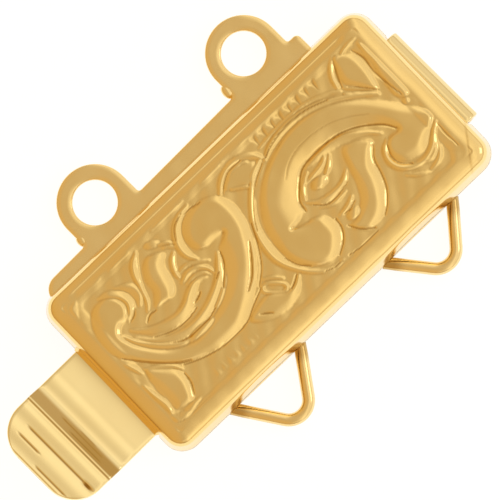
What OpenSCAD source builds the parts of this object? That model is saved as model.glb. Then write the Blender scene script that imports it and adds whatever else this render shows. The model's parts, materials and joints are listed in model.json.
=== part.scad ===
// Two-strand box clasp: a stamped box with scroll ornament, and a folded spring tongue that slides into
// it. The box lies along X with its underside on z = 0. The tongue goes in from -X, the rings are on the
// +Y side and the wire loops on the -Y side.

/* [Box] */
// Length of the box
cover_l = 20; // [17.5:0.5:26]
// Width of the box
cover_w = 9.5; // [8.5:0.1:12]
// Height of the box, from the underside to the top of the rim
box_h = 2.6; // [2.5:0.05:3.2]
// Thickness of the stamped cover sheet
sheet = 0.25; // [0.2:0.01:0.3]
// Corner radius of the box seen from above
plan_r = 1; // [0.9:0.05:1.4]
// Lean of the cover's walls
draft = 9; // [2:1:12]
// Radius of the cover's rounded shoulder
shoulder_r = 0.5; // [0.4:0.05:0.6]
// Flat width on top of the rim
rim_land = 0.1; // [0.04:0.01:0.15]
// Depth of the ornament's ground below the rim
panel_drop = 0.12; // [0.04:0.01:0.18]
// Height of the highest ornament above its ground
relief_h = 0.24; // [0.1:0.01:0.3]

/* [Tray] */
// Thickness of the tray's base
tray_t = 0.3; // [0.25:0.01:0.4]
// Height of the cover's lower edge above the underside
skirt_z = 0.95; // [0.9:0.01:1.1]
// How far the tray's edge stands back from the cover's outline
ledge = 0.05; // [0.02:0.01:0.1]
// Thickness of the tray's sill
sill_t = 0.3; // [0.25:0.01:0.45]
// Gap at the seam between the sill and the cover
seam = 0.02; // [0.01:0.01:0.03]

/* [Strands] */
// Distance between the two strands
strand_pitch = 9.55; // [8:0.05:11]
// Offset of the strands' middle from the box's middle
strand_offset = 0.17; // [0:0.01:0.4]
// Diameter of the loops' wire
wire_d = 0.6; // [0.5:0.02:0.7]
// Height of the loops' wire above the underside, at its axis
wire_z = 0.5; // [0.4:0.01:0.6]
// Distance between the feet of a loop, at the wire's axis
loop_w = 4.12; // [3.4:0.02:4.6]
// Reach of the loop at -X, from the tray to the wire's axis
loop_reach_1 = 2.3; // [1.8:0.02:2.8]
// Reach of the loop at +X
loop_reach_2 = 1.98; // [1.8:0.02:2.8]
// Radius of a loop's rounded tip, at the wire's axis
loop_tip_r = 0.75; // [0.5:0.05:0.9]
// Width of the arched cuts in the cover's lower edge
arch_w = 3.7; // [2.5:0.1:4.2]
// Height of the arched cuts
arch_h = 0.3; // [0.1:0.02:0.45]

/* [Ring plate] */
// Thickness of the tongue's sheet
leaf_t = 0.38; // [0.3:0.01:0.42]
// Distance of the plate's outer edge from the tongue's middle line
plate_reach = 5.8; // [5.6:0.05:6.6]
// Distance of the plate's square end from the middle of the box, toward the far end
plate_far = 7.3; // [7:0.1:8]
// Distance of the plate's rounded end from the middle of the box, toward the thumb tab
plate_near = 9.1; // [8:0.1:9.4]
// Radius of the plate's rounded end
plate_near_r = 0.75; // [0.4:0.05:1]
// Radius of the plate's square end
plate_far_r = 0.25; // [0.1:0.05:0.5]
// Radius of the holes for the strands
ring_hole_r = 1.03; // [0.8:0.01:1.2]
// Width of metal round each hole
ring_rim = 0.73; // [0.5:0.01:0.9]
// Distance of a ring's middle outside the plate's edge
ring_out = 1.07; // [0.8:0.01:1.4]

/* [Tongue] */
// Width of the tongue
tongue_w = 5.25; // [4.2:0.05:5.4]
// Gap between the two leaves at the fold
leaf_gap = 0.34; // [0.32:0.01:0.4]
// Turn of the tongue in the box, which its play allows
tongue_yaw = 1.3; // [0:0.1:1.5]
// Shift of the tongue's middle line from the box's middle line
tongue_shift = -0.3; // [-0.4:0.05:0]
// How far the fold stands out of the far end
fold_out = 0.46; // [0.2:0.02:0.6]
// Rise of the upper leaf toward the catch
leaf_lift = 0.5; // [0.3:0.05:0.6]
// Height of the catch above the leaf
catch_h = 0.3; // [0.2:0.01:0.33]
// Width of the catch
catch_w = 3.4; // [2:0.1:4]
// Length of the catch with its ramp
catch_l = 1.9; // [1.2:0.1:2]
// Length of the flat tab between the box and the riser
tab_l = 2.3; // [1.5:0.1:4]
// Length of the riser
riser_l = 0.65; // [0.5:0.05:1]
// Length of the thumb pad
pad_l = 2.23; // [1.8:0.01:4]
// Height of the pad above the tab
pad_rise = 0.5; // [0.2:0.05:0.6]
// Radius of the pad's outer corners
pad_r = 1.6; // [0.6:0.1:2]
// Depth of the grip lines
grip_depth = 0.08; // [0.03:0.01:0.12]
// How far the lip of the end notch flares out
lip_out = 0.17; // [0:0.01:0.25]
// Height of the flared lip
lip_h = 0.3; // [0.15:0.01:0.35]
// Clearance of the sliding parts
slide_gap = 0.06; // [0.04:0.01:0.07]
// Clearance at the sides of the tongue
side_gap = 0.12; // [0.08:0.01:0.2]

/* [Hidden] */
$fn = 48;

gold = [0.93, 0.76, 0.42];
pale_gold = [0.96, 0.83, 0.52];
lap = 0.01;                               // overlap of pieces that are fused
cut = 1;                                  // how far a cutter reaches past what it cuts

half_l = cover_l / 2;
half_w = cover_w / 2;
leg_seat = 0.7 * sill_t;                  // how far a loop's legs reach into the tray
wire_sides = 20;
tip_steps = 9;
strand_x = [strand_offset - strand_pitch / 2, strand_offset + strand_pitch / 2];
loop_reach = [loop_reach_1, loop_reach_2];

ground_z = box_h - panel_drop;            // top of the ornament's ground
panel_l = cover_l - 2 * plan_r;
panel_w = cover_w - 2 * plan_r;
tray_l = cover_l - 2 * ledge;
tray_w = cover_w - 2 * ledge;
tray_r = plan_r - ledge;

// Inward distance of the wall's outer face at height z
function wall_in(z) = (z - skirt_z) * tan(draft);
wall_t = sheet / cos(draft);

// The cover's section: across is the distance inward from the outline
shoulder_z = box_h - shoulder_r;
shoulder_in = shoulder_r * cos(draft) + wall_in(shoulder_z + shoulder_r * sin(draft));
slope_in = 0.96 * plan_r;                 // inner edge of the slope from the rim down to the panel
rim_in = min(shoulder_in + rim_land, slope_in - 2 * lap);
inner_r = shoulder_r - sheet;
inner_z = ground_z - sheet - inner_r;
inner_in = min(wall_t + wall_in(inner_z) + inner_r * cos(draft), slope_in - lap);
shoulder_steps = 6;
corner_steps = 10;
arch_sides = 96;

// The tongue's heights, before the upper leaf's lift
plate_z = tray_t + slide_gap;
fold_r = leaf_t + leaf_gap / 2;
fold_z = plate_z + fold_r;
leaf_top = plate_z + 2 * fold_r;
fold_x = half_l + fold_out - fold_r;
split_gap = 0.05;                         // gap between the two solids at the fold
leaf_rise = (fold_x + half_l) * sin(leaf_lift);
notch_z = leaf_top + leaf_rise + slide_gap;
catch_top = leaf_top + leaf_rise + catch_h;
catch_x = -half_l + wall_t + wall_in(catch_top) + tongue_w / 2 * sin(tongue_yaw) + slide_gap;
catch_land = 0.35;                        // flat top of the catch
lower_start = -half_l + wall_t + slide_gap;   // where the lower leaf ends, inside the end wall
tab_x = -half_l - tab_l;
riser_x = tab_x - riser_l;
pad_x = riser_x - pad_l;
pad_tilt = 0.1;                           // fall of the pad toward its end
tongue_half = tongue_w / 2 + side_gap;

// Grip lines: place along the pad from the riser, start and end across the tongue, all as shares
GRIP_LINES = [
    // place, from, to
    [0.40, -0.40, 0.36],
    [0.62, -0.34, 0.36],
    [0.88, -0.22, 0.20],
];

// A raised stroke's section: across as a share of its half width, height as a share of its rise
STROKE_SECTION = [[-1, 0], [-0.7, 0.66], [-0.25, 0.97], [0.25, 0.97], [0.7, 0.66], [1, 0]];
stroke_step = 10;                         // degrees of arc between two stations of a stroke
stroke_sunk = 0.08;                       // how far a stroke reaches into the ground
end_rise = 0.25;                          // height of a stroke's two ends, as a share of its full height
end_run = 0.13;                           // share of a stroke's length over which it gains its full height

// Columns of the strokes. Each one is an arc whose radius and width change along it.
// cx: middle, as a share of half the panel's length
// cy, r0, r1: middle, first and last radius, as shares of half the panel's width
// a0, a1: first and last angle
// w0, wm, w1: half width at the start, middle and end, as shares of half the panel's width
// rise: height, as a share of the relief's height

LEFT_SCROLL = [
    // cx, cy, r0, r1, a0, a1, w0, wm, w1, rise
    [-0.505, 0.40, 1.16, 1.03, 156, 272, 0.02, 0.045, 0.045, 0.8],
    [-0.505, 0.40, 1.03, 1.12, 268, 358, 0.045, 0.06, 0.07, 1.0],
    [-0.222, 0.54, 0.41, 0.37, -8, 192, 0.07, 0.07, 0.055, 1.0],
    [-0.222, 0.54, 0.37, 0.29, 188, 252, 0.055, 0.045, 0.02, 0.9],
    [-0.544, 0.57, 0.88, 0.79, 198, 340, 0.03, 0.06, 0.035, 0.85],
    [-0.600, 0.70, 0.76, 0.70, 212, 302, 0.02, 0.07, 0.03, 0.7],
    [-0.840, 0.61, 0.25, 0.26, 84, -104, 0.015, 0.07, 0.015, 1.0],
    [-0.411, 0.59, 0.47, 0.47, 137, 187, 0.02, 0.04, 0.04, 0.8],
    [-0.767, 0.57, 0.38, 0.38, 2, -62, 0.04, 0.04, 0.015, 0.8],
    [-1.133, 0.90, 1.55, 1.55, -9, -25, 0.03, 0.06, 0.03, 0.9],
    [-0.433, 0.07, 0.24, 0.24, 116, -12, 0.015, 0.04, 0.015, 0.7],
    [-0.444, -0.11, 0.26, 0.26, 142, 28, 0.02, 0.06, 0.02, 0.6],
    [-0.556, 0.51, 0.84, 0.84, 248, 282, 0.03, 0.045, 0.03, 0.5],
];

RIGHT_SCROLL = [
    // cx, cy, r0, r1, a0, a1, w0, wm, w1, rise
    [0.444, -0.13, 1.19, 0.92, 182, 88, 0.055, 0.05, 0.035, 1.0],
    [0.150, -0.24, 0.47, 0.47, 163, 246, 0.055, 0.05, 0.02, 1.0],
    [0.444, -0.13, 0.92, 1.15, 92, 20, 0.035, 0.04, 0.03, 0.9],
    [0.144, -0.51, 0.37, 0.36, 234, 382, 0.02, 0.045, 0.03, 0.9],
    [0.494, -0.43, 0.74, 0.83, 156, 18, 0.025, 0.055, 0.03, 1.0],
    [0.489, -0.49, 0.89, 0.98, 142, 22, 0.04, 0.08, 0.03, 0.6],
    [0.478, -0.38, 0.82, 0.82, 166, 126, 0.03, 0.11, 0.06, 0.7],
    [0.383, 0.57, 0.46, 0.46, 250, 296, 0.015, 0.03, 0.02, 0.6],
    [0.389, 0.12, 0.365, 0.365, 214, 322, 0.02, 0.045, 0.02, 0.8],
    [0.489, -0.43, 0.66, 0.66, 115, 62, 0.02, 0.045, 0.02, 0.7],
    [0.811, -0.46, 0.47, 0.47, 132, 187, 0.03, 0.06, 0.06, 1.0],
    [0.433, -0.43, 0.43, 0.41, -3, -106, 0.06, 0.07, 0.03, 1.0],
    [0.489, -0.43, 0.53, 0.53, 200, 236, 0.015, 0.03, 0.015, 0.7],
    [0.372, -0.30, 0.19, 0.19, 232, 326, 0.015, 0.035, 0.015, 0.8],
    [0.811, -0.38, 0.27, 0.27, 142, 288, 0.02, 0.045, 0.04, 1.0],
    [0.822, 0.04, 0.66, 0.66, 274, 312, 0.04, 0.045, 0.015, 1.0],
    [0.822, -0.43, 0.38, 0.38, 136, 246, 0.015, 0.03, 0.015, 0.7],
];

CORNER_LEAVES = [
    // cx, cy, r0, r1, a0, a1, w0, wm, w1, rise
    [-0.956, -0.57, 0.37, 0.37, 66, -46, 0.015, 0.045, 0.015, 0.9],
    [-0.920, -0.70, 0.20, 0.20, 196, 310, 0.015, 0.035, 0.015, 0.7],
    [-0.194, -0.43, 0.47, 0.43, 208, 333, 0.015, 0.055, 0.03, 0.9],
    [0.089, 0.57, 0.37, 0.37, 152, 24, 0.015, 0.04, 0.02, 0.9],
    [1.022, 0.59, 0.64, 0.64, 176, 142, 0.015, 0.03, 0.015, 0.8],
    [1.111, 0.78, 0.73, 0.73, 175, 213, 0.015, 0.07, 0.015, 0.7],
    [0.960, 0.51, 0.44, 0.44, 132, 86, 0.015, 0.03, 0.015, 0.7],
    [1.080, 0.73, 0.45, 0.45, 164, 210, 0.015, 0.045, 0.015, 0.7],
    [0.733, 0.78, 0.61, 0.61, 8, -38, 0.015, 0.045, 0.02, 0.7],
];

// A boss's section: radius of its shoulder and its top as shares of its size, height of the shoulder as a
// share of its rise
boss_shoulder_r = 0.78;
boss_shoulder_h = 0.62;
boss_top_r = 0.4;
boss_sides = 16;

// Bosses: middle as shares of half the panel's length and width, half length and half width as shares
// of half the panel's width, angle, rise as a share of the relief's height
BOSSES = [
    // cx, cy, half length, half width, angle, rise
    [-0.840, 0.59, 0.18, 0.18, 0, 0.7],
    [-0.222, 0.54, 0.22, 0.22, 0, 0.5],
    [-0.467, 0.86, 0.10, 0.045, -25, 0.9],
    [-0.964, -0.56, 0.19, 0.045, 92, 0.7],
    [-0.178, -0.55, 0.13, 0.05, -42, 0.8],
    [0.100, 0.68, 0.12, 0.09, 0, 0.5],
    [0.144, -0.49, 0.24, 0.24, 0, 0.5],
    [0.356, 0.00, 0.10, 0.055, 0, 1.0],
    [0.372, -0.57, 0.09, 0.06, 0, 0.9],
    [0.822, -0.35, 0.18, 0.18, 0, 0.5],
    [0.811, -0.18, 0.09, 0.035, 10, 0.8],
    [0.950, -0.01, 0.05, 0.05, 0, 0.8],
    [-0.950, 0.86, 0.09, 0.05, 45, 0.5],
];

// Value between three stops, at the share t
function between(start, middle, end, t) =
    t < 0.5 ? start + (middle - start) * 2 * t : middle + (end - middle) * (2 * t - 1);

// One station of a stroke: its section set out along the arc's radius
function stroke_station(row, t) =
    let (
        unit = panel_w / 2,
        angle = row[4] + (row[5] - row[4]) * t,
        radius = (row[2] + (row[3] - row[2]) * t) * unit,
        half = between(row[6], row[7], row[8], t) * unit,
        ease = min(1, end_rise + (1 - end_rise) * min(t, 1 - t) / end_run),
        rise = row[9] * relief_h * ease,
        section = concat([[-1, -stroke_sunk / rise]], STROKE_SECTION, [[1, -stroke_sunk / rise]])
    )
    [for (p = section) [
        row[0] * panel_l / 2 + (radius + p[0] * half) * cos(angle),
        row[1] * unit + (radius + p[0] * half) * sin(angle),
        ground_z + p[1] * rise
    ]];

// A closed solid through a row of rings that hold the same number of points
module band(rings, turn) {
    n = len(rings[0]);
    m = len(rings);
    sides = [for (i = [0:m - 2], k = [0:n - 1])
        let (a = i * n + k, b = i * n + (k + 1) % n, c = b + n, d = a + n)
        each (turn ? [[a, c, b], [a, d, c]] : [[a, b, c], [a, c, d]])];
    first = [for (k = [0:n - 1]) turn ? k : n - 1 - k];
    last = [for (k = [0:n - 1]) (m - 1) * n + (turn ? n - 1 - k : k)];
    polyhedron([for (ring = rings) each ring], concat(sides, [first, last]), convexity = 4);
}

// One raised stroke
module stroke(row) {
    steps = max(4, round(abs(row[5] - row[4]) / stroke_step));
    band([for (i = [0:steps]) stroke_station(row, i / steps)], row[5] > row[4]);
}

// One raised boss: a low dome, drawn out along its angle
module boss(row) {
    unit = panel_w / 2;
    rise = row[5] * relief_h;
    translate([row[0] * panel_l / 2, row[1] * unit, ground_z]) rotate(row[4])
        scale([row[2] * unit, row[3] * unit, 1]) hull() {
            translate([0, 0, -stroke_sunk]) cylinder(r = 1, h = stroke_sunk, $fn = boss_sides);
            cylinder(r = boss_shoulder_r, h = boss_shoulder_h * rise, $fn = boss_sides);
            cylinder(r = boss_top_r, h = rise, $fn = boss_sides);
        }
}

module scrollwork() {
    for (row = concat(LEFT_SCROLL, RIGHT_SCROLL, CORNER_LEAVES)) stroke(row);
    for (row = BOSSES) boss(row);
}

// The cover's wall, shoulder and rim in section, as far in as the panel's slope
function rim_section() = concat(
    [[0, skirt_z]],
    [for (i = [0:shoulder_steps]) let (a = 180 - draft - (90 - draft) * i / shoulder_steps)
        [shoulder_in + shoulder_r * cos(a), shoulder_z + shoulder_r * sin(a)]],
    [[rim_in, box_h], [slope_in, ground_z], [slope_in, ground_z - sheet]],
    [for (i = [shoulder_steps:-1:0]) let (a = 180 - draft - (90 - draft) * i / shoulder_steps)
        [inner_in + inner_r * cos(a), inner_z + inner_r * sin(a)]],
    [[wall_t, skirt_z]]
);

// One ring of points round the box: the outline set in by a distance, at one height
function outline_ring(inset, z) = [
    for (corner = [0:3], i = [0:corner_steps]) let (
        a = 90 * (corner + i / corner_steps),
        sx = corner == 0 || corner == 3 ? 1 : -1,
        sy = corner < 2 ? 1 : -1
    ) [sx * panel_l / 2 + (plan_r - inset) * cos(a), sy * panel_w / 2 + (plan_r - inset) * sin(a), z]
];

// The stamped sheet, without its ornament and its cuts: rings from the outer lower edge over the
// shoulder to the panel, then back along the inside
module cover_shell() {
    section = rim_section();
    n = 4 * (corner_steps + 1);
    m = len(section);
    panel_ring = shoulder_steps + 3;
    points = [for (p = section) each outline_ring(p[0], p[1])];
    sides = [for (k = [0:m - 1]) if (k != panel_ring) for (i = [0:n - 1])
        let (next = (k + 1) % m, j = (i + 1) % n)
        [k * n + i, next * n + i, next * n + j, k * n + j]];
    top = [for (i = [0:n - 1]) panel_ring * n + n - 1 - i];
    bottom = [for (i = [0:n - 1]) (panel_ring + 1) * n + i];
    polyhedron(points, concat(sides, [top, bottom]), convexity = 6);
}

// The tongue's own frame: turned and shifted in the box
module in_tongue() {
    translate([0, tongue_shift, 0]) rotate(tongue_yaw) children();
}

// A shallow arch in the lower edge of both long walls
module arch_cut() {
    rise_r = (arch_w * arch_w / 4 + arch_h * arch_h) / (2 * arch_h);
    intersection() {
        translate([0, 0, skirt_z + arch_h - rise_r]) rotate([90, 0, 0])
            cylinder(r = rise_r, h = cover_w + 2 * cut, center = true, $fn = arch_sides);
        translate([-arch_w / 2, -half_w - cut, skirt_z - cut])
            cube([arch_w, cover_w + 2 * cut, cut + arch_h]);
    }
}

// The flared lip over the end notch, before the notch trims it from below
module notch_lip() {
    top = notch_z + lip_h;
    half = tongue_half - lap;
    translate([0, half, 0]) rotate([90, 0, 0]) linear_extrude(height = 2 * half) polygon([
        [-half_l - lip_out, notch_z + lip_h / 4],
        [-half_l - lip_out, notch_z - sheet / 2],
        [-half_l + wall_in(notch_z) + wall_t / 2, notch_z - sheet / 2],
        [-half_l + wall_in(top) + wall_t / 2, top]
    ]);
}

module cover() color(pale_gold) difference() {
    union() {
        cover_shell();
        scrollwork();
        in_tongue() notch_lip();
    }
    // The tongue's notch at -X, and the opening for the fold at +X
    in_tongue() translate([-half_l - cut, -tongue_half, skirt_z - cut])
        cube([cut + plan_r + shoulder_r, 2 * tongue_half, cut + notch_z - skirt_z]);
    in_tongue() translate([half_l - plan_r - shoulder_r, -tongue_half, skirt_z - cut])
        cube([cut + plan_r + shoulder_r, 2 * tongue_half, cut + leaf_top + slide_gap - skirt_z]);
    for (x = strand_x) translate([x, 0, 0]) arch_cut();
}

module tray_outline(inset) {
    r = tray_r - min(inset, tray_r / 2);
    corner_x = tray_l / 2 - inset - r;
    corner_y = tray_w / 2 - inset - r;
    square([tray_l - 2 * inset, 2 * corner_y], center = true);
    square([2 * corner_x, tray_w - 2 * inset], center = true);
    for (sx = [-1, 1], sy = [-1, 1]) translate([sx * corner_x, sy * corner_y]) circle(r = r);
}

// A ring of points round the loops' wire, with its outward side along [out_x, out_y]
function wire_ring(x, y, out_x, out_y) = [
    for (i = [0:wire_sides - 1]) let (a = 360 * i / wire_sides, r = wire_d / 2)
        [x + r * cos(a) * out_x, y + r * cos(a) * out_y, wire_z + r * sin(a)]
];

// One soldered wire loop: two straight legs that end in the tray's sill, and a rounded tip
module strand_loop(reach) {
    foot = loop_w / 2;
    tip_y = loop_tip_r - reach;                          // middle of the rounded tip
    tangent = atan2(-tip_y, foot) - acos(loop_tip_r / norm([foot, tip_y]));
    seat_x = foot - leg_seat * tan(tangent);
    translate([0, -tray_w / 2, 0]) band(concat(
        [wire_ring(-seat_x, leg_seat, -1 / cos(tangent), 0)],
        [for (i = [0:tip_steps]) let (a = 180 - tangent + (180 + 2 * tangent) * i / tip_steps)
            wire_ring(loop_tip_r * cos(a), tip_y + loop_tip_r * sin(a), cos(a), sin(a))],
        [wire_ring(seat_x, leg_seat, 1 / cos(tangent), 0)]
    ), false);
}

module loop_tray() color(gold) {
    difference() {
        linear_extrude(height = skirt_z - seam) tray_outline(0);
        translate([0, 0, tray_t]) linear_extrude(height = skirt_z) tray_outline(sill_t);
        // The side and the ends where the ring plate and the tongue pass
        translate([-half_l - cut, 0, tray_t]) cube([half_l + cut + plate_far + side_gap, cover_w, skirt_z]);
        in_tongue() translate([-half_l - cut, -tongue_half, tray_t])
            cube([cut + plan_r, tongue_w, skirt_z]);
        in_tongue() translate([half_l - plan_r, -tongue_half, tray_t])
            cube([cut + plan_r, 2 * tongue_half, skirt_z]);
    }
    for (i = [0, 1]) translate([strand_x[i], 0, 0]) strand_loop(loop_reach[i]);
}

module ring_plate() color(gold) in_tongue() difference() {
    translate([0, 0, plate_z]) linear_extrude(height = leaf_t) union() {
        // The lower leaf, as far as the fold
        translate([lower_start, -tongue_w / 2]) square([fold_x - split_gap - lower_start, tongue_w]);
        // The plate with its two corners
        translate([-plate_near, 0]) square([plate_near + plate_far, plate_reach - plate_near_r]);
        translate([-plate_near + plate_near_r, 0])
            square([plate_near + plate_far - plate_near_r - plate_far_r, plate_reach]);
        square([plate_far, plate_reach - plate_far_r]);
        translate([-plate_near + plate_near_r, plate_reach - plate_near_r]) circle(r = plate_near_r);
        translate([plate_far - plate_far_r, plate_reach - plate_far_r]) circle(r = plate_far_r);
        for (x = strand_x) {
            translate([x - ring_hole_r - ring_rim, 0])
                square([2 * (ring_hole_r + ring_rim), plate_reach + ring_out]);
            translate([x, plate_reach + ring_out]) circle(r = ring_hole_r + ring_rim);
        }
    }
    for (x = strand_x) translate([x, plate_reach + ring_out, plate_z - cut])
        cylinder(r = ring_hole_r, h = leaf_t + 2 * cut);
}

// Everything of the upper leaf before it is lifted, with its top face at leaf_top
module flat_leaf() {
    bottom = leaf_top - leaf_t;
    pad_top = leaf_top + pad_rise;
    bend_shift = leaf_t / 4;                  // keeps the sheet's thickness even round the riser
    difference() {
        intersection() {
            translate([0, tongue_w / 2, 0]) rotate([90, 0, 0]) linear_extrude(height = tongue_w) polygon([
                [fold_x, leaf_top],
                [tab_x, leaf_top],
                [riser_x, pad_top],
                [pad_x, pad_top - pad_tilt],
                [pad_x, pad_top - pad_tilt - leaf_t],
                [riser_x - bend_shift, pad_top - leaf_t],
                [tab_x - bend_shift, bottom],
                [fold_x, bottom]
            ]);
            translate([0, 0, bottom - cut]) linear_extrude(height = pad_rise + leaf_t + 2 * cut) union() {
                translate([pad_x + pad_r, -tongue_w / 2]) square([fold_x - pad_x - pad_r + cut, tongue_w]);
                translate([pad_x, -tongue_w / 2 + pad_r]) square([pad_r + lap, tongue_w - 2 * pad_r]);
                for (side = [-1, 1]) translate([pad_x + pad_r, side * (tongue_w / 2 - pad_r)])
                    circle(r = pad_r);
            }
        }
        for (line = GRIP_LINES) grip_line(line, pad_top);
    }
    translate([0, catch_w / 2, 0]) rotate([90, 0, 0]) linear_extrude(height = catch_w) polygon([
        [catch_x, leaf_top - lap],
        [catch_x, leaf_top + catch_h],
        [catch_x + catch_land, leaf_top + catch_h],
        [catch_x + catch_l, leaf_top - lap]
    ]);
}

// One V-shaped grip line across the pad
module grip_line(line, pad_top) {
    fall = pad_tilt * line[0];
    side = grip_depth * sqrt(2);
    translate([riser_x - pad_l * line[0], (line[1] + line[2]) / 2 * tongue_w, pad_top - fall])
        rotate([0, 45, 0]) cube([side, (line[2] - line[1]) * tongue_w, side], center = true);
}

module spring_leaf() color(pale_gold) in_tongue() {
    translate([fold_x, 0, fold_z]) rotate([0, leaf_lift, 0]) translate([-fold_x, 0, -fold_z]) flat_leaf();
    translate([fold_x, 0, fold_z]) rotate([0, leaf_lift, 0]) rotate([90, 0, 0]) rotate(-90)
        rotate_extrude(angle = 180) translate([fold_r - leaf_t, -tongue_w / 2]) square([leaf_t, tongue_w]);
}

cover();
loop_tray();
ring_plate();
spring_leaf();
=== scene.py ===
"""Box clasp in pale polished gold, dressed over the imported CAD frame.

All lengths below are in millimetres and are turned into metres where a mesh is made. The box lies along X,
its thumb tab is at -X, its rings are on +Y and its wire loops on -Y, as in the CAD frame.
"""

import json
import math

import bpy
import numpy as np
from mathutils import Matrix, Vector
from mathutils.geometry import tessellate_polygon


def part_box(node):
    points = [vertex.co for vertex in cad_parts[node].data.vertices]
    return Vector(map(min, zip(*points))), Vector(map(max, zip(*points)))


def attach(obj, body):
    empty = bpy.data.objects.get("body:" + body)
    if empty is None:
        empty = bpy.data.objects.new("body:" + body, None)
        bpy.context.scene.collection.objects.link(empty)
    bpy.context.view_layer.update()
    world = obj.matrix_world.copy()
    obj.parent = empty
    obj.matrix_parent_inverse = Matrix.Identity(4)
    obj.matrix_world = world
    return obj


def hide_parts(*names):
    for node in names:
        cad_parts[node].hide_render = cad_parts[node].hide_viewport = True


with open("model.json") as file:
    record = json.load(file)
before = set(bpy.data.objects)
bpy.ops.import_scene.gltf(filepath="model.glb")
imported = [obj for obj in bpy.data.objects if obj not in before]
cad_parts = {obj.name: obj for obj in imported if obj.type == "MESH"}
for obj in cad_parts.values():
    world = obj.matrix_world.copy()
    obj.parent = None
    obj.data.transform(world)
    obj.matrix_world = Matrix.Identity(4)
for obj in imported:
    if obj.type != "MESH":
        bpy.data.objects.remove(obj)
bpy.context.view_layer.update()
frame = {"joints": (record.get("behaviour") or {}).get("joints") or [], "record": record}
record = frame["record"]
MM = 0.001

# ---- sizes that the frame gives
box_low, box_high = (np.array(corner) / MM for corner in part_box("cover"))
half_l, half_w = box_high[:2]
skirt_z = box_low[2]
fold_z = next(j for j in frame["joints"] if j["type"] == "hinge")["pos_m"][2] / MM
hole_r = next(m for m in record["mounts"] if m["name"] == "ring_bore_1")["dims"]["r_mm"]

# ---- sizes of the cover: its rim, its sunk ground, its sheet, its corners in plan and its leaning walls
box_h = 2.6
ground_z = 2.555
sheet = 0.25
plan_r = 1.0
wall_lean = math.radians(9)
draft = math.tan(wall_lean)
shoulder_r = 0.5
rim_w = 1.0
# the rim's crown: how far in it starts, its slope, its bend, and the stretch over which it sets in
crown_from = 1.0
crown_slope = 0.105
crown_bend = 0.18
crown_ease = 0.18
# the channel in the rim on the rings' side: its depth, then where each side starts and how wide it is
channel_h = 0.035
channel_outer = (0.70, 0.05)
channel_inner = (0.80, 0.3)
# the step from the rim to the ground: its width along the loops' side, the rings' side and both ends
step_run, ring_step_run, end_step_run = 0.28, 0.58, 0.95
# the worn corner: the ends of its crease, and how far it sinks per millimetre
crease_ends = ((10.05, -2.3), (8.7, -4.2))
worn_slope = 0.035
# the arches over the loops, the tongue's notch with its flared lip, and the fold's opening
arch_w = 3.7
arch_h = 0.3
notch_z = 1.69
opening_z = 1.52
lip_out = 0.17
lip_h = 0.3

# ---- sizes of the tray and the wire loops
tray_t = 0.3
sill_t = 0.3
sill_z = 0.93
ledge = 0.05
sill_ends = (-3.15, -2.82, 2.53, 2.67)
wire_r = 0.3
wire_z = 0.5
loop_foot = 2.06
loop_reach = (2.3, 1.98)
loop_tip_r = 0.9
strand_x = (-4.605, 4.945)

# ---- sizes of the tongue: its width, its play in the box and its place, then the ring plate
tongue_w = 5.25
play = 0.12
slot_half = tongue_w / 2 + play
tongue_yaw = math.radians(1.3)
tongue_y = -0.3
leaf_t = 0.38
plate_z = 0.36
plate_start = -9.687
plate_reach = 5.8
plate_far = 7.3
plate_near = 9.1
ring_r = 1.76
ring_y = 6.87

# ---- sizes of the spring leaf: the fold, where the tab bends up, the riser and the pad
fold_x = 9.91
leaf_gap = 0.34
fold_r = leaf_t + leaf_gap / 2
leaf_lift = math.radians(0.5)
tab_from = -10.0
tab_lift = math.radians(8.5)
tab_x = -12.3
riser_x = -12.95
pad_x = -15.18
pad_rise = 0.32
pad_r = 1.6

QUARTER = np.radians([0, 30, 60, 90])


def smooth(t):
    """Smoothstep of t, held between 0 and 1."""
    t = np.clip(t, 0, 1)
    return t * t * (3 - 2 * t)


def in_tongue(points):
    """Points of the tongue's own frame, turned by its yaw and shifted, in the row frame."""
    c, s = math.cos(tongue_yaw), math.sin(tongue_yaw)
    p = np.asarray(points, float)
    return np.stack([p[:, 0] * c - p[:, 1] * s, tongue_y + p[:, 0] * s + p[:, 1] * c, p[:, 2]], axis=1)


def across_tongue(x, y):
    """Distance of points of the row frame from the tongue's middle line, measured along the box's end."""
    return (y - tongue_y - x * math.sin(tongue_yaw)) / math.cos(tongue_yaw)


def make_piece(name, points, faces, body, material, replaced=()):
    """One closed, smooth-shaded mesh from points in mm and a list of faces, riding on a body."""
    mesh = bpy.data.meshes.new(name)
    mesh.from_pydata((np.asarray(points) * MM).tolist(), [], [tuple(int(i) for i in f) for f in faces])
    mesh.validate()
    mesh.polygons.foreach_set("use_smooth", np.ones(len(mesh.polygons), bool))
    mesh.materials.append(material)
    mesh.update()
    piece = bpy.data.objects.new(name, mesh)
    bpy.context.scene.collection.objects.link(piece)
    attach(piece, body)
    if replaced:
        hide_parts(*replaced)
    return piece


def store_shade_and_patina(piece, shade):
    """Store the darkening of a piece's first points, from 0 to 1, painted shade and patina together, as an
    attribute of its points.
    """
    values = np.zeros(len(piece.data.vertices), np.float32)
    values[:shade.size] = shade.ravel()
    piece.data.attributes.new("shade_and_patina", "FLOAT", "POINT").data.foreach_set("value", values)


def grid_faces(rows, columns, start=0, closed=False):
    """Quads between neighbouring rows of a grid of points, going round when closed."""
    k, s = np.meshgrid(np.arange(rows - 1), np.arange(columns if closed else columns - 1), indexing="ij")
    t = (s + 1) % columns
    corners = [k * columns + s, (k + 1) * columns + s, (k + 1) * columns + t, k * columns + t]
    return (start + np.stack(corners, axis=-1).reshape(-1, 4)).tolist()


def fan_faces(start, count, hub, turned=False):
    """Triangles between a ring of points, which begins at start, and a hub point."""
    pairs = [(start + s, start + (s + 1) % count) for s in range(count)]
    return [[b, a, hub] if turned else [a, b, hub] for a, b in pairs]


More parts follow.
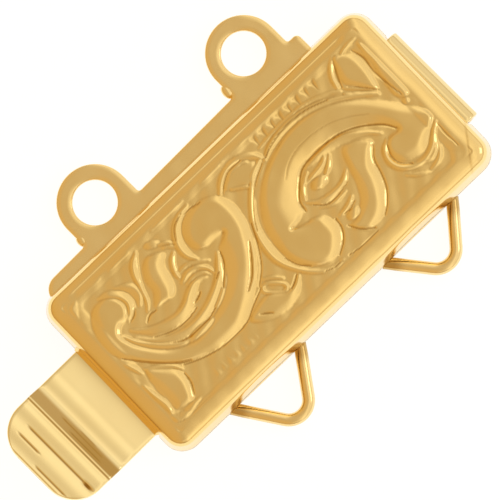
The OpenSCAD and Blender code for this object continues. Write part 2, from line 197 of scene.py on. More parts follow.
# ---- materials
# brown toward which the stored values darken the gold: painted shade in hollows and grooves, under the
# arches, along the crease, on the riser and the fold, and the brown marks on the leaf and the loops' feet
shade_and_patina_brown = (0.40, 0.20, 0.012, 1)
cloud_scale = 350          # clouds and waves per metre
wave_scale = 600


def ramp_node(nodes, stops):
    """A colour ramp with the given stops."""
    ramp = nodes.new("ShaderNodeValToRGB")
    elements = ramp.color_ramp.elements
    while len(elements) < len(stops):
        elements.new(0.5)
    for element, (position, colour) in zip(elements, stops):
        element.position = position
        element.color = (*colour, 1)
    return ramp


def gold(name, pale, deep, roughness, grain, bump, waves, shade_and_patina=False):
    """Polished gold plate: colour clouds between two golds, uneven polish, a fine bump over slow waves, and
    where asked a brown that follows the values stored on the piece's points, which hold painted shade as well
    as patina."""
    material = bpy.data.materials.new(name)
    material.use_nodes = True
    nodes, links = material.node_tree.nodes, material.node_tree.links
    shader = nodes["Principled BSDF"]
    shader.inputs["Metallic"].default_value = 1.0
    place = nodes.new("ShaderNodeTexCoord")

    def noise(scale, detail):
        """The value of a noise texture over the piece's own coordinates."""
        texture = nodes.new("ShaderNodeTexNoise")
        texture.inputs["Scale"].default_value = scale
        texture.inputs["Detail"].default_value = detail
        links.new(place.outputs["Object"], texture.inputs["Vector"])
        return texture.outputs["Fac"]

    def bumped(height, distance):
        """A bump node over a height, whose full rise is a distance in metres."""
        node = nodes.new("ShaderNodeBump")
        node.inputs["Strength"].default_value = 1.0
        node.inputs["Distance"].default_value = distance
        links.new(height, node.inputs["Height"])
        return node

    colour = ramp_node(nodes, [(0.3, deep), (0.7, pale)])
    links.new(noise(cloud_scale, 4), colour.inputs["Fac"])
    finish = colour.outputs["Color"]
    # painted shade and patina: the stored values mix the colour toward brown
    if shade_and_patina:
        held = nodes.new("ShaderNodeAttribute")
        held.attribute_name = "shade_and_patina"
        darkened = nodes.new("ShaderNodeMix")
        darkened.data_type = "RGBA"
        darkened.inputs["B"].default_value = shade_and_patina_brown
        links.new(held.outputs["Fac"], darkened.inputs["Factor"])
        links.new(finish, darkened.inputs["A"])
        finish = darkened.outputs["Result"]
    links.new(finish, shader.inputs["Base Color"])
    fine = noise(grain, 3)
    polish = nodes.new("ShaderNodeMapRange")
    polish.inputs["To Min"].default_value = roughness * 0.8
    polish.inputs["To Max"].default_value = roughness * 1.25
    links.new(fine, polish.inputs["Value"])
    links.new(polish.outputs["Result"], shader.inputs["Roughness"])
    raised = bumped(fine, bump)
    links.new(bumped(noise(wave_scale, 1), waves).outputs["Normal"], raised.inputs["Normal"])
    links.new(raised.outputs["Normal"], shader.inputs["Normal"])
    return material


relief_gold = gold("relief_gold", (0.97, 0.74, 0.33), (0.95, 0.705, 0.29), 0.14, 1300, 2.5e-6, 5e-5, True)
leaf_gold = gold("leaf_gold", (1.0, 0.85, 0.47), (0.99, 0.82, 0.43), 0.12, 1500, 5e-7, 6e-6, True)
plate_gold = gold("plate_gold", (0.98, 0.77, 0.38), (0.96, 0.74, 0.34), 0.20, 1800, 1.5e-6, 4e-5)
wire_gold = gold("wire_gold", (0.97, 0.76, 0.38), (0.95, 0.72, 0.33), 0.18, 1500, 1.5e-6, 2e-5, True)


# ---- the stamped ornament
# Every form is a smooth line through listed points (x, y, width).
# A plateau is a closed line: its height grows from the line inwards over the width given at each point.
PLATEAUS = [
    # right scroll: outer side from the right tip over the top to the left curl, then back inside
    (0.17, [(9.0, -1.15, 0.15), (8.55, -0.3, 0.4), (7.95, 0.55, 0.4), (7.2, 1.35, 0.3), (6.4, 1.95, 0.2),
           (5.5, 2.4, 0.16), (4.5, 2.62, 0.14), (3.5, 2.6, 0.14), (2.5, 2.35, 0.16), (1.6, 1.95, 0.2),
           (0.85, 1.4, 0.26), (0.3, 0.75, 0.34), (-0.05, 0.1, 0.38), (-0.2, -0.6, 0.36), (-0.2, -1.3, 0.24),
           (0.0, -1.95, 0.2), (0.35, -2.5, 0.2), (0.85, -2.85, 0.22), (1.4, -2.97, 0.35), (1.95, -2.78, 0.5),
           (2.4, -2.3, 0.5), (2.5, -1.75, 0.5), (2.35, -1.25, 0.4), (1.95, -1.0, 0.2), (1.4, -0.9, 0.14),
           (0.85, -0.66, 0.1), (1.4, -0.62, 0.3), (1.85, -0.45, 1.0), (2.0, 0.05, 0.95), (2.4, 0.52, 0.8),
           (3.0, 0.97, 0.66), (3.7, 1.13, 0.62), (4.5, 1.12, 0.66), (5.3, 1.0, 0.62), (6.0, 0.72, 0.55),
           (6.6, 0.32, 0.5), (7.05, -0.12, 0.4), (7.4, -0.7, 0.2), (6.85, -0.72, 0.12), (6.45, -0.95, 0.2),
           (6.35, -1.45, 0.22), (6.55, -1.92, 0.28), (7.0, -2.2, 0.4), (7.6, -2.25, 0.45), (8.2, -1.95, 0.4),
           (8.7, -1.6, 0.15)]),
    # left scroll: outer side from the upper left curl along the bottom and up to the right curl, then back
    (0.17, [(-7.6, 2.98, 0.14), (-8.25, 2.88, 0.3), (-8.7, 2.35, 0.45), (-8.95, 1.5, 0.42),
           (-8.85, 0.7, 0.32), (-8.4, -0.05, 0.2), (-7.8, -0.78, 0.16), (-7.1, -1.42, 0.16),
           (-6.4, -1.85, 0.2), (-5.5, -2.18, 0.3), (-4.5, -2.3, 0.36), (-3.6, -2.22, 0.42),
           (-2.8, -1.88, 0.5), (-2.0, -1.35, 0.56), (-1.3, -0.65, 0.56), (-0.8, 0.1, 0.5),
           (-0.42, 0.85, 0.46), (-0.25, 1.6, 0.46), (-0.3, 2.3, 0.42), (-0.6, 2.85, 0.3), (-1.2, 3.12, 0.2),
           (-1.9, 3.15, 0.24), (-2.5, 3.02, 0.4), (-2.9, 2.6, 0.4), (-3.02, 2.1, 0.3), (-2.88, 1.65, 0.24),
           (-2.5, 1.42, 0.26), (-1.9, 1.4, 0.32), (-1.5, 1.38, 0.2), (-1.8, 1.15, 0.2), (-2.2, 0.95, 0.6),
           (-2.45, 0.35, 0.62), (-2.85, -0.2, 0.55), (-3.5, -0.72, 0.4), (-4.3, -1.02, 0.3),
           (-5.2, -1.2, 0.25), (-6.0, -1.2, 0.22), (-6.8, -0.8, 0.22), (-7.4, -0.15, 0.22), (-7.85, 0.6, 0.2),
           (-8.0, 1.2, 0.2), (-7.7, 1.5, 0.24), (-7.2, 1.55, 0.22), (-6.9, 2.1, 0.16), (-7.1, 2.7, 0.14)]),
    # upper leaf of the left scroll, with a broad facet on its right
    (0.15, [(-4.3, 2.8, 0.14), (-4.8, 2.95, 0.12), (-5.25, 2.7, 0.26), (-5.55, 2.2, 0.32), (-5.65, 1.6, 0.32),
           (-6.05, 1.05, 0.2), (-5.5, 0.92, 0.14), (-5.1, 0.85, 0.24), (-4.72, 1.12, 0.42),
           (-4.55, 1.65, 0.44), (-4.35, 2.2, 0.44), (-4.05, 2.5, 0.2)]),
    # lobe of the right scroll
    (0.15, [(4.95, 0.35, 0.2), (4.62, -0.4, 0.22), (4.42, -1.0, 0.32), (4.2, -1.5, 0.4), (3.9, -1.92, 0.34),
           (3.3, -2.32, 0.2), (2.85, -2.42, 0.14), (3.0, -2.8, 0.14), (3.4, -3.12, 0.2), (3.95, -3.15, 0.36),
           (4.55, -2.92, 0.46), (5.08, -2.35, 0.48), (5.38, -1.7, 0.46), (5.55, -1.1, 0.4), (5.95, -0.6, 0.3),
           (6.2, -0.25, 0.12), (5.6, 0.25, 0.2)]),
    # leaf at the bottom left
    (0.13, [(-8.25, -0.7, 0.1), (-7.65, -1.15, 0.26), (-7.22, -1.65, 0.3), (-7.15, -2.2, 0.34),
           (-7.3, -2.7, 0.34), (-7.6, -3.1, 0.26), (-8.1, -3.1, 0.2), (-8.5, -2.95, 0.3), (-8.55, -2.3, 0.46),
           (-8.55, -1.6, 0.42), (-8.45, -1.05, 0.2)]),
    # leaf at the bottom middle
    (0.12, [(-3.35, -2.35, 0.1), (-2.9, -2.85, 0.16), (-2.2, -3.15, 0.34), (-1.4, -3.18, 0.36),
           (-0.75, -2.9, 0.36), (-0.28, -2.32, 0.12), (-0.75, -2.52, 0.1), (-1.3, -2.5, 0.12),
           (-2.0, -2.05, 0.1), (-2.7, -2.1, 0.12)]),
    # leaves at the upper right
    (0.12, [(7.52, 3.65, 0.08), (7.2, 3.1, 0.26), (7.08, 2.5, 0.26), (7.4, 1.95, 0.2), (7.95, 1.25, 0.1),
           (8.22, 1.7, 0.2), (8.38, 2.4, 0.3), (8.35, 3.05, 0.3), (8.05, 3.4, 0.16)]),
    (0.10, [(8.85, 3.4, 0.1), (8.62, 2.9, 0.24), (8.6, 2.3, 0.24), (8.5, 1.8, 0.14), (8.42, 1.1, 0.1),
           (8.35, 0.5, 0.1), (8.65, 0.12, 0.1), (8.95, 0.3, 0.12), (8.95, 1.8, 0.12)]),
    # body of the small leaf at the top middle
    (0.09, [(-0.15, 2.7, 0.1), (0.2, 3.0, 0.14), (0.75, 3.16, 0.16), (1.35, 3.05, 0.2), (1.75, 2.7, 0.16),
           (1.45, 2.4, 0.12), (0.9, 2.1, 0.12), (0.45, 2.35, 0.12)]),
]

# A ridge runs along an open line of (x, y, half width). The first three numbers are its rise and the shares
# of its width that slope on its right and on its left.
RIDGES = [
    (0.16, 0.35, 0.85, [(-7.62, 3.1, 0.06), (-7.15, 2.9, 0.2), (-6.8, 2.5, 0.24), (-6.72, 2.05, 0.24),
           (-6.95, 1.68, 0.18), (-7.3, 1.5, 0.06)]),
    (0.10, 0.9, 0.5, [(-6.8, 2.95, 0.06), (-6.28, 2.5, 0.26), (-6.22, 2.0, 0.26), (-6.5, 1.6, 0.08)]),
    (0.13, 0.35, 0.9, [(-4.95, 3.45, 0.06), (-5.38, 3.12, 0.2), (-5.66, 2.72, 0.2), (-5.85, 2.2, 0.12),
           (-6.1, 1.5, 0.1), (-6.4, 1.15, 0.05)]),
    (0.10, 0.5, 0.5, [(-4.0, 3.02, 0.05), (-3.7, 2.85, 0.09), (-3.42, 2.6, 0.05)]),
    (0.08, 0.5, 0.5, [(-3.95, 2.75, 0.05), (-3.7, 2.62, 0.08), (-3.48, 2.4, 0.05)]),
    (0.11, 0.4, 0.7, [(-3.7, 2.3, 0.05), (-4.05, 2.02, 0.13), (-4.28, 1.6, 0.13), (-4.35, 1.25, 0.05)]),
    (0.13, 0.7, 0.5, [(-4.4, 1.02, 0.06), (-3.9, 1.14, 0.15), (-3.45, 1.04, 0.14), (-3.12, 0.72, 0.1),
           (-3.02, 0.3, 0.05)]),
    (0.09, 0.7, 0.5, [(-4.3, 0.8, 0.05), (-3.8, 0.85, 0.1), (-3.4, 0.68, 0.1), (-3.2, 0.4, 0.05)]),
    (0.10, 0.7, 0.5, [(-4.2, 1.45, 0.05), (-3.7, 1.45, 0.1), (-3.2, 1.2, 0.1), (-2.8, 0.9, 0.05)]),
    # border of the left scroll's right curl
    (0.13, 0.9, 0.3, [(-3.12, 1.3, 0.06), (-3.34, 1.8, 0.2), (-3.28, 2.35, 0.24), (-2.95, 2.9, 0.22),
           (-2.4, 3.26, 0.16), (-1.8, 3.4, 0.06)]),
    # layers of the left scroll's big leaf
    (0.16, 0.95, 0.35, [(-7.55, 1.05, 0.06), (-6.95, 0.48, 0.18), (-6.2, 0.1, 0.26), (-5.5, -0.02, 0.28),
           (-4.9, 0.12, 0.28), (-4.4, 0.42, 0.25), (-3.9, 0.6, 0.16), (-3.4, 0.45, 0.06)]),
    (0.15, 0.9, 0.35, [(-7.65, 0.7, 0.06), (-7.05, -0.1, 0.17), (-6.25, -0.58, 0.22), (-5.3, -0.76, 0.23),
           (-4.4, -0.64, 0.24), (-3.6, -0.33, 0.24), (-3.0, 0.03, 0.22), (-2.6, 0.47, 0.18),
           (-2.28, 0.92, 0.06)]),
    (0.17, 0.8, 0.4, [(-8.02, 1.15, 0.06), (-7.72, 0.45, 0.16), (-7.12, -0.32, 0.18), (-6.4, -0.9, 0.16),
           (-5.8, -1.12, 0.1)]),
    (0.08, 0.6, 0.5, [(-4.4, -0.98, 0.05), (-3.7, -0.72, 0.12), (-3.0, -0.3, 0.12), (-2.6, 0.15, 0.06)]),
    # bottom left
    (0.12, 0.6, 0.4, [(-8.9, -1.1, 0.05), (-8.82, -1.8, 0.13), (-8.72, -2.45, 0.17), (-8.78, -2.9, 0.06)]),
    (0.09, 0.5, 0.7, [(-9.1, -2.75, 0.08), (-8.95, -3.15, 0.18), (-8.4, -3.36, 0.2), (-7.8, -3.3, 0.16),
           (-7.35, -3.3, 0.05)]),
    (0.08, 0.5, 0.6, [(-8.8, 0.1, 0.06), (-8.62, -0.3, 0.14), (-8.5, -0.7, 0.06)]),
    (0.09, 0.5, 0.5, [(-8.35, -0.62, 0.05), (-7.8, -0.98, 0.1), (-7.3, -1.4, 0.1), (-7.05, -1.8, 0.05)]),
    (0.05, 0.9, 0.5, [(-9.2, 2.9, 0.2), (-8.95, 3.35, 0.4), (-8.5, 3.7, 0.2)]),
    # bottom middle: a small framed oval and its lines
    (0.08, 0.5, 0.5, [(-1.95, -1.62, 0.06), (-1.62, -1.68, 0.08), (-1.15, -2.15, 0.08), (-1.12, -2.42, 0.08),
           (-1.42, -2.4, 0.08), (-1.98, -1.9, 0.08), (-1.95, -1.62, 0.06)]),
    (0.07, 0.5, 0.5, [(-1.65, -1.42, 0.05), (-1.3, -1.62, 0.07), (-0.95, -2.0, 0.05)]),
    # outer border of the right scroll
    (0.15, 0.35, 0.95, [(2.05, 2.62, 0.05), (1.5, 2.38, 0.11), (0.9, 1.98, 0.14), (0.35, 1.42, 0.16),
           (-0.12, 0.8, 0.18), (-0.4, 0.15, 0.22), (-0.52, -0.5, 0.26), (-0.55, -1.1, 0.25),
           (-0.4, -1.7, 0.18), (-0.05, -2.35, 0.13), (0.45, -2.9, 0.12), (1.1, -3.22, 0.1),
           (1.6, -3.25, 0.05)]),
    (0.19, 0.95, 0.4, [(2.1, 2.42, 0.06), (2.8, 2.72, 0.15), (3.7, 2.84, 0.2), (4.6, 2.8, 0.2),
           (5.5, 2.55, 0.18), (6.3, 2.18, 0.15), (7.1, 1.65, 0.12), (7.9, 1.0, 0.05)]),
    (0.08, 0.5, 0.5, [(2.3, 3.0, 0.05), (3.2, 3.08, 0.08), (4.2, 3.1, 0.08), (5.2, 3.0, 0.08),
           (6.2, 2.65, 0.08), (6.75, 2.3, 0.05)]),
    # broken line along the rings' side
    (0.05, 0.5, 0.5, [(-8.0, 3.76, 0.03), (-7.4, 3.75, 0.06), (-6.9, 3.73, 0.03)]),
    (0.07, 0.5, 0.5, [(-6.4, 3.70, 0.03), (-5.8, 3.72, 0.07), (-5.2, 3.68, 0.03)]),
    (0.08, 0.5, 0.5, [(-3.8, 3.71, 0.03), (-2.9, 3.73, 0.08), (-1.85, 3.70, 0.03)]),
    (0.07, 0.5, 0.5, [(-0.7, 3.68, 0.03), (0.0, 3.72, 0.07), (0.7, 3.74, 0.03)]),
    (0.06, 0.5, 0.5, [(1.2, 3.76, 0.03), (3.0, 3.78, 0.07), (4.8, 3.74, 0.03)]),
    # small leaf at the top middle
    (0.14, 0.6, 0.6, [(-0.42, 2.72, 0.06), (0.0, 3.08, 0.14), (0.6, 3.34, 0.16), (1.25, 3.32, 0.17),
           (1.8, 3.0, 0.2), (2.1, 2.62, 0.1)]),
    (0.12, 0.5, 0.5, [(0.35, 3.0, 0.04), (0.7, 3.12, 0.06), (1.2, 3.1, 0.06), (1.5, 2.95, 0.04)]),
    (0.11, 0.5, 0.5, [(0.1, 2.52, 0.05), (0.5, 2.28, 0.09), (0.85, 1.98, 0.05)]),
    (0.12, 0.5, 0.5, [(1.0, 2.22, 0.05), (1.4, 2.42, 0.09), (1.9, 2.6, 0.05)]),
    # inside the right scroll
    (0.16, 0.95, 0.25, [(3.2, 0.88, 0.05), (3.9, 0.86, 0.18), (4.8, 0.8, 0.22), (5.6, 0.55, 0.2),
           (6.3, 0.1, 0.12), (6.75, -0.35, 0.05)]),
    (0.10, 0.5, 0.5, [(2.15, -0.15, 0.05), (2.5, 0.35, 0.11), (3.1, 0.72, 0.05)]),
    (0.12, 0.7, 0.5, [(2.62, 0.4, 0.06), (3.3, 0.42, 0.12), (3.9, 0.52, 0.14), (4.3, 0.8, 0.06)]),
    (0.11, 0.7, 0.5, [(3.55, 0.0, 0.05), (3.95, 0.22, 0.12), (4.4, 0.62, 0.05)]),
    (0.13, 0.9, 0.4, [(2.15, -0.28, 0.05), (2.65, -0.68, 0.15), (3.3, -0.82, 0.18), (3.95, -0.76, 0.16),
           (4.5, -0.4, 0.05)]),
    (0.09, 0.6, 0.5, [(2.45, -0.85, 0.05), (3.0, -1.12, 0.1), (3.8, -1.1, 0.05)]),
    (0.12, 0.8, 0.4, [(2.85, -1.72, 0.05), (3.4, -1.68, 0.14), (3.85, -1.45, 0.05)]),
    # right curl
    (0.16, 0.5, 0.7, [(6.72, -0.72, 0.06), (6.32, -1.0, 0.14), (6.14, -1.5, 0.17), (6.3, -2.02, 0.17),
           (6.8, -2.42, 0.15), (7.4, -2.52, 0.14), (8.0, -2.32, 0.14), (8.5, -1.88, 0.12),
           (8.95, -1.6, 0.05)]),
    (0.09, 0.6, 0.5, [(6.25, -2.5, 0.05), (6.7, -2.85, 0.12), (7.15, -3.1, 0.05)]),
    (0.12, 0.8, 0.5, [(7.15, -2.62, 0.05), (7.6, -2.7, 0.14), (8.05, -2.52, 0.12), (8.4, -2.1, 0.05)]),
    (0.08, 0.8, 0.5, [(7.2, -3.1, 0.05), (7.8, -2.98, 0.14), (8.3, -2.55, 0.05)]),
    # fine parallel lines toward the right end
    (0.11, 0.5, 0.5, [(6.9, 2.35, 0.04), (7.4, 1.85, 0.06), (8.0, 1.25, 0.04)]),
    (0.10, 0.5, 0.5, [(6.75, 2.1, 0.04), (7.3, 1.62, 0.06), (7.9, 1.1, 0.04)]),
    (0.10, 0.6, 0.4, [(6.72, 2.5, 0.06), (6.85, 2.95, 0.12), (7.1, 3.35, 0.1), (7.5, 3.7, 0.04)]),
    (0.07, 0.5, 0.5, [(7.55, 3.35, 0.05), (8.2, 3.58, 0.08), (8.9, 3.62, 0.05)]),
]

# Chased lines: narrow grooves along open lines of (x, y, half width), after their depth.
GROOVES = [
    (0.07, [(1.85, -0.5, 0.05), (1.95, 0.0, 0.07), (2.4, 0.5, 0.07), (3.0, 0.96, 0.07), (3.7, 1.1, 0.06),
           (4.5, 1.1, 0.06), (5.3, 0.98, 0.06), (6.0, 0.7, 0.06), (6.6, 0.3, 0.07), (7.1, -0.15, 0.07),
           (7.4, -0.65, 0.05)]),
    (0.08, [(-2.5, -1.32, 0.04), (-1.95, -0.95, 0.07), (-1.4, -0.35, 0.08), (-0.92, 0.28, 0.04)]),
    (0.07, [(-3.2, -0.42, 0.04), (-2.65, 0.1, 0.06), (-2.35, 0.5, 0.06), (-2.2, 0.85, 0.05)]),
    (0.08, [(-4.6, -0.02, 0.04), (-4.35, 0.05, 0.07), (-4.1, 0.15, 0.04)]),
    (0.06, [(-3.15, 0.08, 0.04), (-2.88, 0.22, 0.05)]),
    (0.05, [(-6.9, -1.7, 0.04), (-6.2, -2.02, 0.05), (-5.3, -2.28, 0.05), (-4.4, -2.36, 0.05),
           (-3.5, -2.28, 0.05), (-2.8, -1.95, 0.05), (-2.0, -1.62, 0.04)]),
    (0.05, [(-2.0, -1.5, 0.04), (-1.3, -0.9, 0.05), (-0.7, 0.0, 0.05), (-0.3, 0.8, 0.04)]),
    (0.06, [(-8.7, 0.4, 0.04), (-8.2, -0.25, 0.06), (-7.6, -0.92, 0.06), (-7.0, -1.48, 0.06),
           (-6.5, -1.78, 0.04)]),
    (0.05, [(-6.6, -0.62, 0.03), (-6.1, -0.9, 0.05), (-5.5, -1.0, 0.05), (-4.7, -0.98, 0.05),
           (-4.1, -0.85, 0.04)]),
    (0.05, [(-7.0, 0.12, 0.03), (-6.2, -0.25, 0.05), (-5.4, -0.35, 0.05), (-4.7, -0.25, 0.04)]),
    (0.07, [(2.58, -1.7, 0.05), (2.48, -2.2, 0.06), (2.12, -2.66, 0.06), (1.6, -2.98, 0.04)]),
    (0.06, [(-0.28, -1.4, 0.04), (-0.08, -2.0, 0.06), (0.32, -2.46, 0.04)]),
    (0.05, [(0.6, -3.08, 0.03), (1.0, -3.22, 0.05), (1.5, -3.28, 0.03)]),
    (0.05, [(-0.35, 0.35, 0.04), (0.0, 0.92, 0.05), (0.5, 1.5, 0.05), (1.1, 2.0, 0.05), (1.9, 2.42, 0.04)]),
    (0.06, [(2.2, 2.5, 0.04), (2.8, 2.72, 0.05), (3.5, 2.86, 0.05), (4.3, 2.88, 0.05), (5.1, 2.76, 0.05),
           (6.0, 2.45, 0.04)]),
    (0.06, [(6.55, -0.9, 0.04), (6.32, -1.4, 0.05), (6.42, -1.9, 0.05), (6.8, -2.28, 0.04)]),
    (0.06, [(6.1, -0.45, 0.04), (5.68, -0.95, 0.06), (5.48, -1.6, 0.06), (5.2, -2.25, 0.06),
           (4.7, -2.82, 0.05), (4.3, -3.1, 0.04)]),
    (0.07, [(-1.0, -2.58, 0.04), (-0.72, -2.46, 0.06), (-0.42, -2.28, 0.04)]),
    (0.07, [(-7.15, -2.0, 0.04), (-7.22, -2.5, 0.06), (-7.48, -2.98, 0.04)]),
    (0.06, [(-7.3, 1.36, 0.03), (-7.0, 1.46, 0.06), (-6.75, 1.65, 0.03)]),
    (0.06, [(-6.75, 0.82, 0.04), (-6.45, 0.98, 0.06), (-6.1, 0.95, 0.04)]),
    (0.06, [(2.3, -0.55, 0.03), (2.75, -0.95, 0.05), (3.4, -0.98, 0.05), (4.1, -0.86, 0.03)]),
    (0.06, [(3.05, -1.8, 0.03), (3.4, -1.8, 0.05), (3.75, -1.68, 0.03)]),
    (0.06, [(2.78, -2.3, 0.04), (3.1, -2.82, 0.06), (3.6, -3.22, 0.04)]),
    (0.05, [(-0.3, 2.66, 0.03), (0.1, 2.98, 0.05), (0.6, 3.22, 0.05), (1.3, 3.2, 0.04)]),
    (0.05, [(7.1, 2.2, 0.03), (7.5, 1.8, 0.05), (8.0, 1.2, 0.03)]),
    (0.05, [(9.0, 3.4, 0.04), (9.0, 1.8, 0.05), (8.98, 0.25, 0.04)]),
    (0.06, [(-2.85, -2.45, 0.04), (-2.6, -2.62, 0.07), (-2.38, -2.8, 0.04)]),
    (0.05, [(-2.2, 3.22, 0.03), (-1.8, 3.2, 0.05), (-1.3, 3.08, 0.03)]),
    (0.05, [(-3.3, 2.6, 0.03), (-2.9, 3.1, 0.05), (-2.3, 3.3, 0.03)]),
    (0.014, [(2.2, 1.15, 0.03), (2.7, 1.52, 0.05), (3.4, 1.76, 0.05), (4.3, 1.8, 0.05), (5.3, 1.62, 0.05),
           (6.2, 1.2, 0.05), (6.9, 0.7, 0.03)]),
    (0.06, [(7.4, 3.5, 0.03), (7.08, 2.95, 0.10), (6.88, 2.4, 0.04)]),
    (0.06, [(8.32, 3.35, 0.03), (8.5, 2.7, 0.09), (8.42, 1.95, 0.05), (8.5, 1.0, 0.06), (8.62, 0.25, 0.03)]),
    (0.05, [(8.85, -1.75, 0.03), (8.82, -2.4, 0.06), (8.86, -3.1, 0.03)]),
    (0.05, [(3.6, -3.42, 0.03), (2.6, -3.4, 0.05), (1.9, -3.3, 0.03)]),
    (0.025, [(-8.6, -3.52, 0.03), (-7.0, -3.58, 0.05), (-5.0, -3.64, 0.05), (-3.4, -3.60, 0.05),
           (-2.4, -3.62, 0.03)]),
]

# Bosses are low domes. Columns: middle x, y; half length; half width; angle; rise.
BOSSES = [
    (-4.2, 3.22, 0.36, 0.17, -25, 0.09),
    (-5.2, -1.14, 0.80, 0.19, 0, 0.20),
    (3.2, 0.0, 0.42, 0.24, -4, 0.17),
    (3.35, -2.08, 0.34, 0.22, 0, 0.15),
    (8.55, -0.05, 0.16, 0.14, 0, 0.07),
    (-9.0, 2.75, 0.14, 0.10, 60, 0.05),
]

# Rows of small teeth: from x, to x, foot y, tip y, pitch, and how deep they are cut, or raised if negative.
TEETH = [(2.15, 6.3, 3.66, 2.95, 0.52, 0.03), (-6.2, -3.6, -3.2, -2.65, 0.4, -0.016)]

tables_shift = 0.10        # the tables' points are set this much too far toward the rings
form_share = 0.75          # shares of the tables' rises that are used
boss_share = 0.8
blend_h = 0.015            # two forms are rounded where their heights come this close
ground_edge = 0.03         # the ground shows where the forms are lower than this
uneven_h = 0.011
line_steps = 5


def smooth_line(points, closed):
    """A Catmull-Rom line through given points: each stretch is the cubic whose end slopes are half the way
    between the neighbours on both sides."""
    p = np.asarray(points, float)
    if closed:
        p = np.concatenate([p[-1:], p, p[:2]])
    else:
        p = np.concatenate([2 * p[:1] - p[1:2], p, 2 * p[-1:] - p[-2:-1]])
    a, b, c, d = p[:-3, None], p[1:-2, None], p[2:-1, None], p[3:, None]
    t = np.linspace(0, 1, line_steps + 1)[:-1][None, :, None]
    square, cube = 2 * a - 5 * b + 4 * c - d, 3 * b - a - 3 * c + d
    line = 0.5 * (2 * b + (c - a) * t + square * t ** 2 + cube * t ** 3)
    return np.concatenate([line.reshape(-1, p.shape[1]), p[-2:-1] if not closed else p[1:2]])


def window(x, y, line, margin):
    """Which points of the grid lie within a line's box and a margin round it."""
    low, high = line[:, :2].min(axis=0) - margin, line[:, :2].max(axis=0) + margin
    return (x > low[0]) & (x < high[0]) & (y > low[1]) & (y < high[1])


def to_line(x, y, line):
    """Distance from points to every stretch of a line, the width there, and the side they are on."""
    a, b = line[:-1], line[1:]
    ab = b[:, :2] - a[:, :2]
    px, py = x[:, None] - a[:, 0], y[:, None] - a[:, 1]
    t = np.clip((px * ab[:, 0] + py * ab[:, 1]) / (ab ** 2).sum(axis=1), 0, 1)
    distance = np.hypot(px - t * ab[:, 0], py - t * ab[:, 1])
    width = a[:, 2] + t * (b[:, 2] - a[:, 2])
    side = np.sign(ab[:, 0] * py - ab[:, 1] * px)
    return distance, width, side


def plateau(x, y, rise, points):
    """Height of a plateau: inside its closed line it grows in proportion to the distance from the line over
    the width given there, up to its rise, bulging a little and with the upper edge rounded."""
    bend_from, bend_over, bulge = 0.85, 0.3, 0.4
    line = smooth_line(points, True)
    height = np.zeros_like(x)
    near = window(x, y, line, 0)
    px, py = x[near], y[near]
    distance, width, _ = to_line(px, py, line)
    share = (distance / width).min(axis=1)
    a, b = line[:-1], line[1:]
    spans = (a[:, 1] > py[:, None]) != (b[:, 1] > py[:, None])
    with np.errstate(divide="ignore", invalid="ignore"):
        cut = a[:, 0] + (py[:, None] - a[:, 1]) * (b[:, 0] - a[:, 0]) / (b[:, 1] - a[:, 1])
    inside = (spans & (px[:, None] < cut)).sum(axis=1) % 2 == 1
    bend = np.clip((share - bend_from) / bend_over, 0, 1)
    grown = np.where(share < bend_from, share, bend_from + bend_over * (bend - bend ** 2 / 2))
    height[near] = rise * grown * (1 + bulge - bulge * grown) * inside
    return height


def ridge(x, y, rise, right, left, points):
    """Height of a ridge: across it the height follows a quarter sine up to its crest over the share of
    the width given for each side, and its rise falls away with the width toward its blunt ends."""
    blunt = 0.2
    line = smooth_line(points, False)
    widest = line[:, 2].max()
    height = np.zeros_like(x)
    near = window(x, y, line, widest)
    distance, width, side = to_line(x[near], y[near], line)
    nearest = (distance / width).argmin(axis=1)[:, None]
    distance, width, side = (np.take_along_axis(v, nearest, 1)[:, 0] for v in (distance, width, side))
    s = np.where(side > 0, 1, -1) * distance / width
    up = np.minimum((1 + s) / (2 * right), (1 - s) / (2 * left))
    height[near] = rise * np.sin(np.clip(up, 0, 1) * math.pi / 2) * np.minimum(1, width / widest + blunt)
    return height


def boss(x, y, row):
    """Height of a boss: a dome over an ellipse, with a steep foot."""
    cx, cy, long, wide, angle, rise = row
    a = math.radians(angle)
    u = ((x - cx) * math.cos(a) + (y - cy) * math.sin(a)) / long
    v = (-(x - cx) * math.sin(a) + (y - cy) * math.cos(a)) / wide
    return rise * np.sqrt(np.clip(1 - u ** 2 - v ** 2, 0, 1))


def teeth(x, y, row):
    """Depth of a row of teeth: triangles that narrow from foot to tip, with sloping sides."""
    side_slope, foot_slope = 0.7, 0.2
    x0, x1, foot, tip, pitch, depth = row
    reach = (y - foot) / (tip - foot)
    phase = np.abs(2 * np.mod((x - x0) / pitch, 1) - 1)
    inside = smooth((1 - phase - reach) / side_slope) * smooth(reach / foot_slope)
    return depth * inside * (x > x0) * (x < x1)


def blend_up(low, high):
    """The higher of two height fields, rounded where they cross."""
    mix = np.clip(0.5 + 0.5 * (high - low) / blend_h, 0, 1)
    return low + (high - low) * mix + blend_h * mix * (1 - mix) * (np.minimum(low, high) > 0)


def soften(height):
    """A height field after a small blur: each point becomes a quarter of its left and right neighbours plus
    half of itself, first along one way of the grid and then along the other."""
    for axis in (0, 1):
        height = (np.roll(height, 1, axis) + 2 * height + np.roll(height, -1, axis)) / 4
    return height


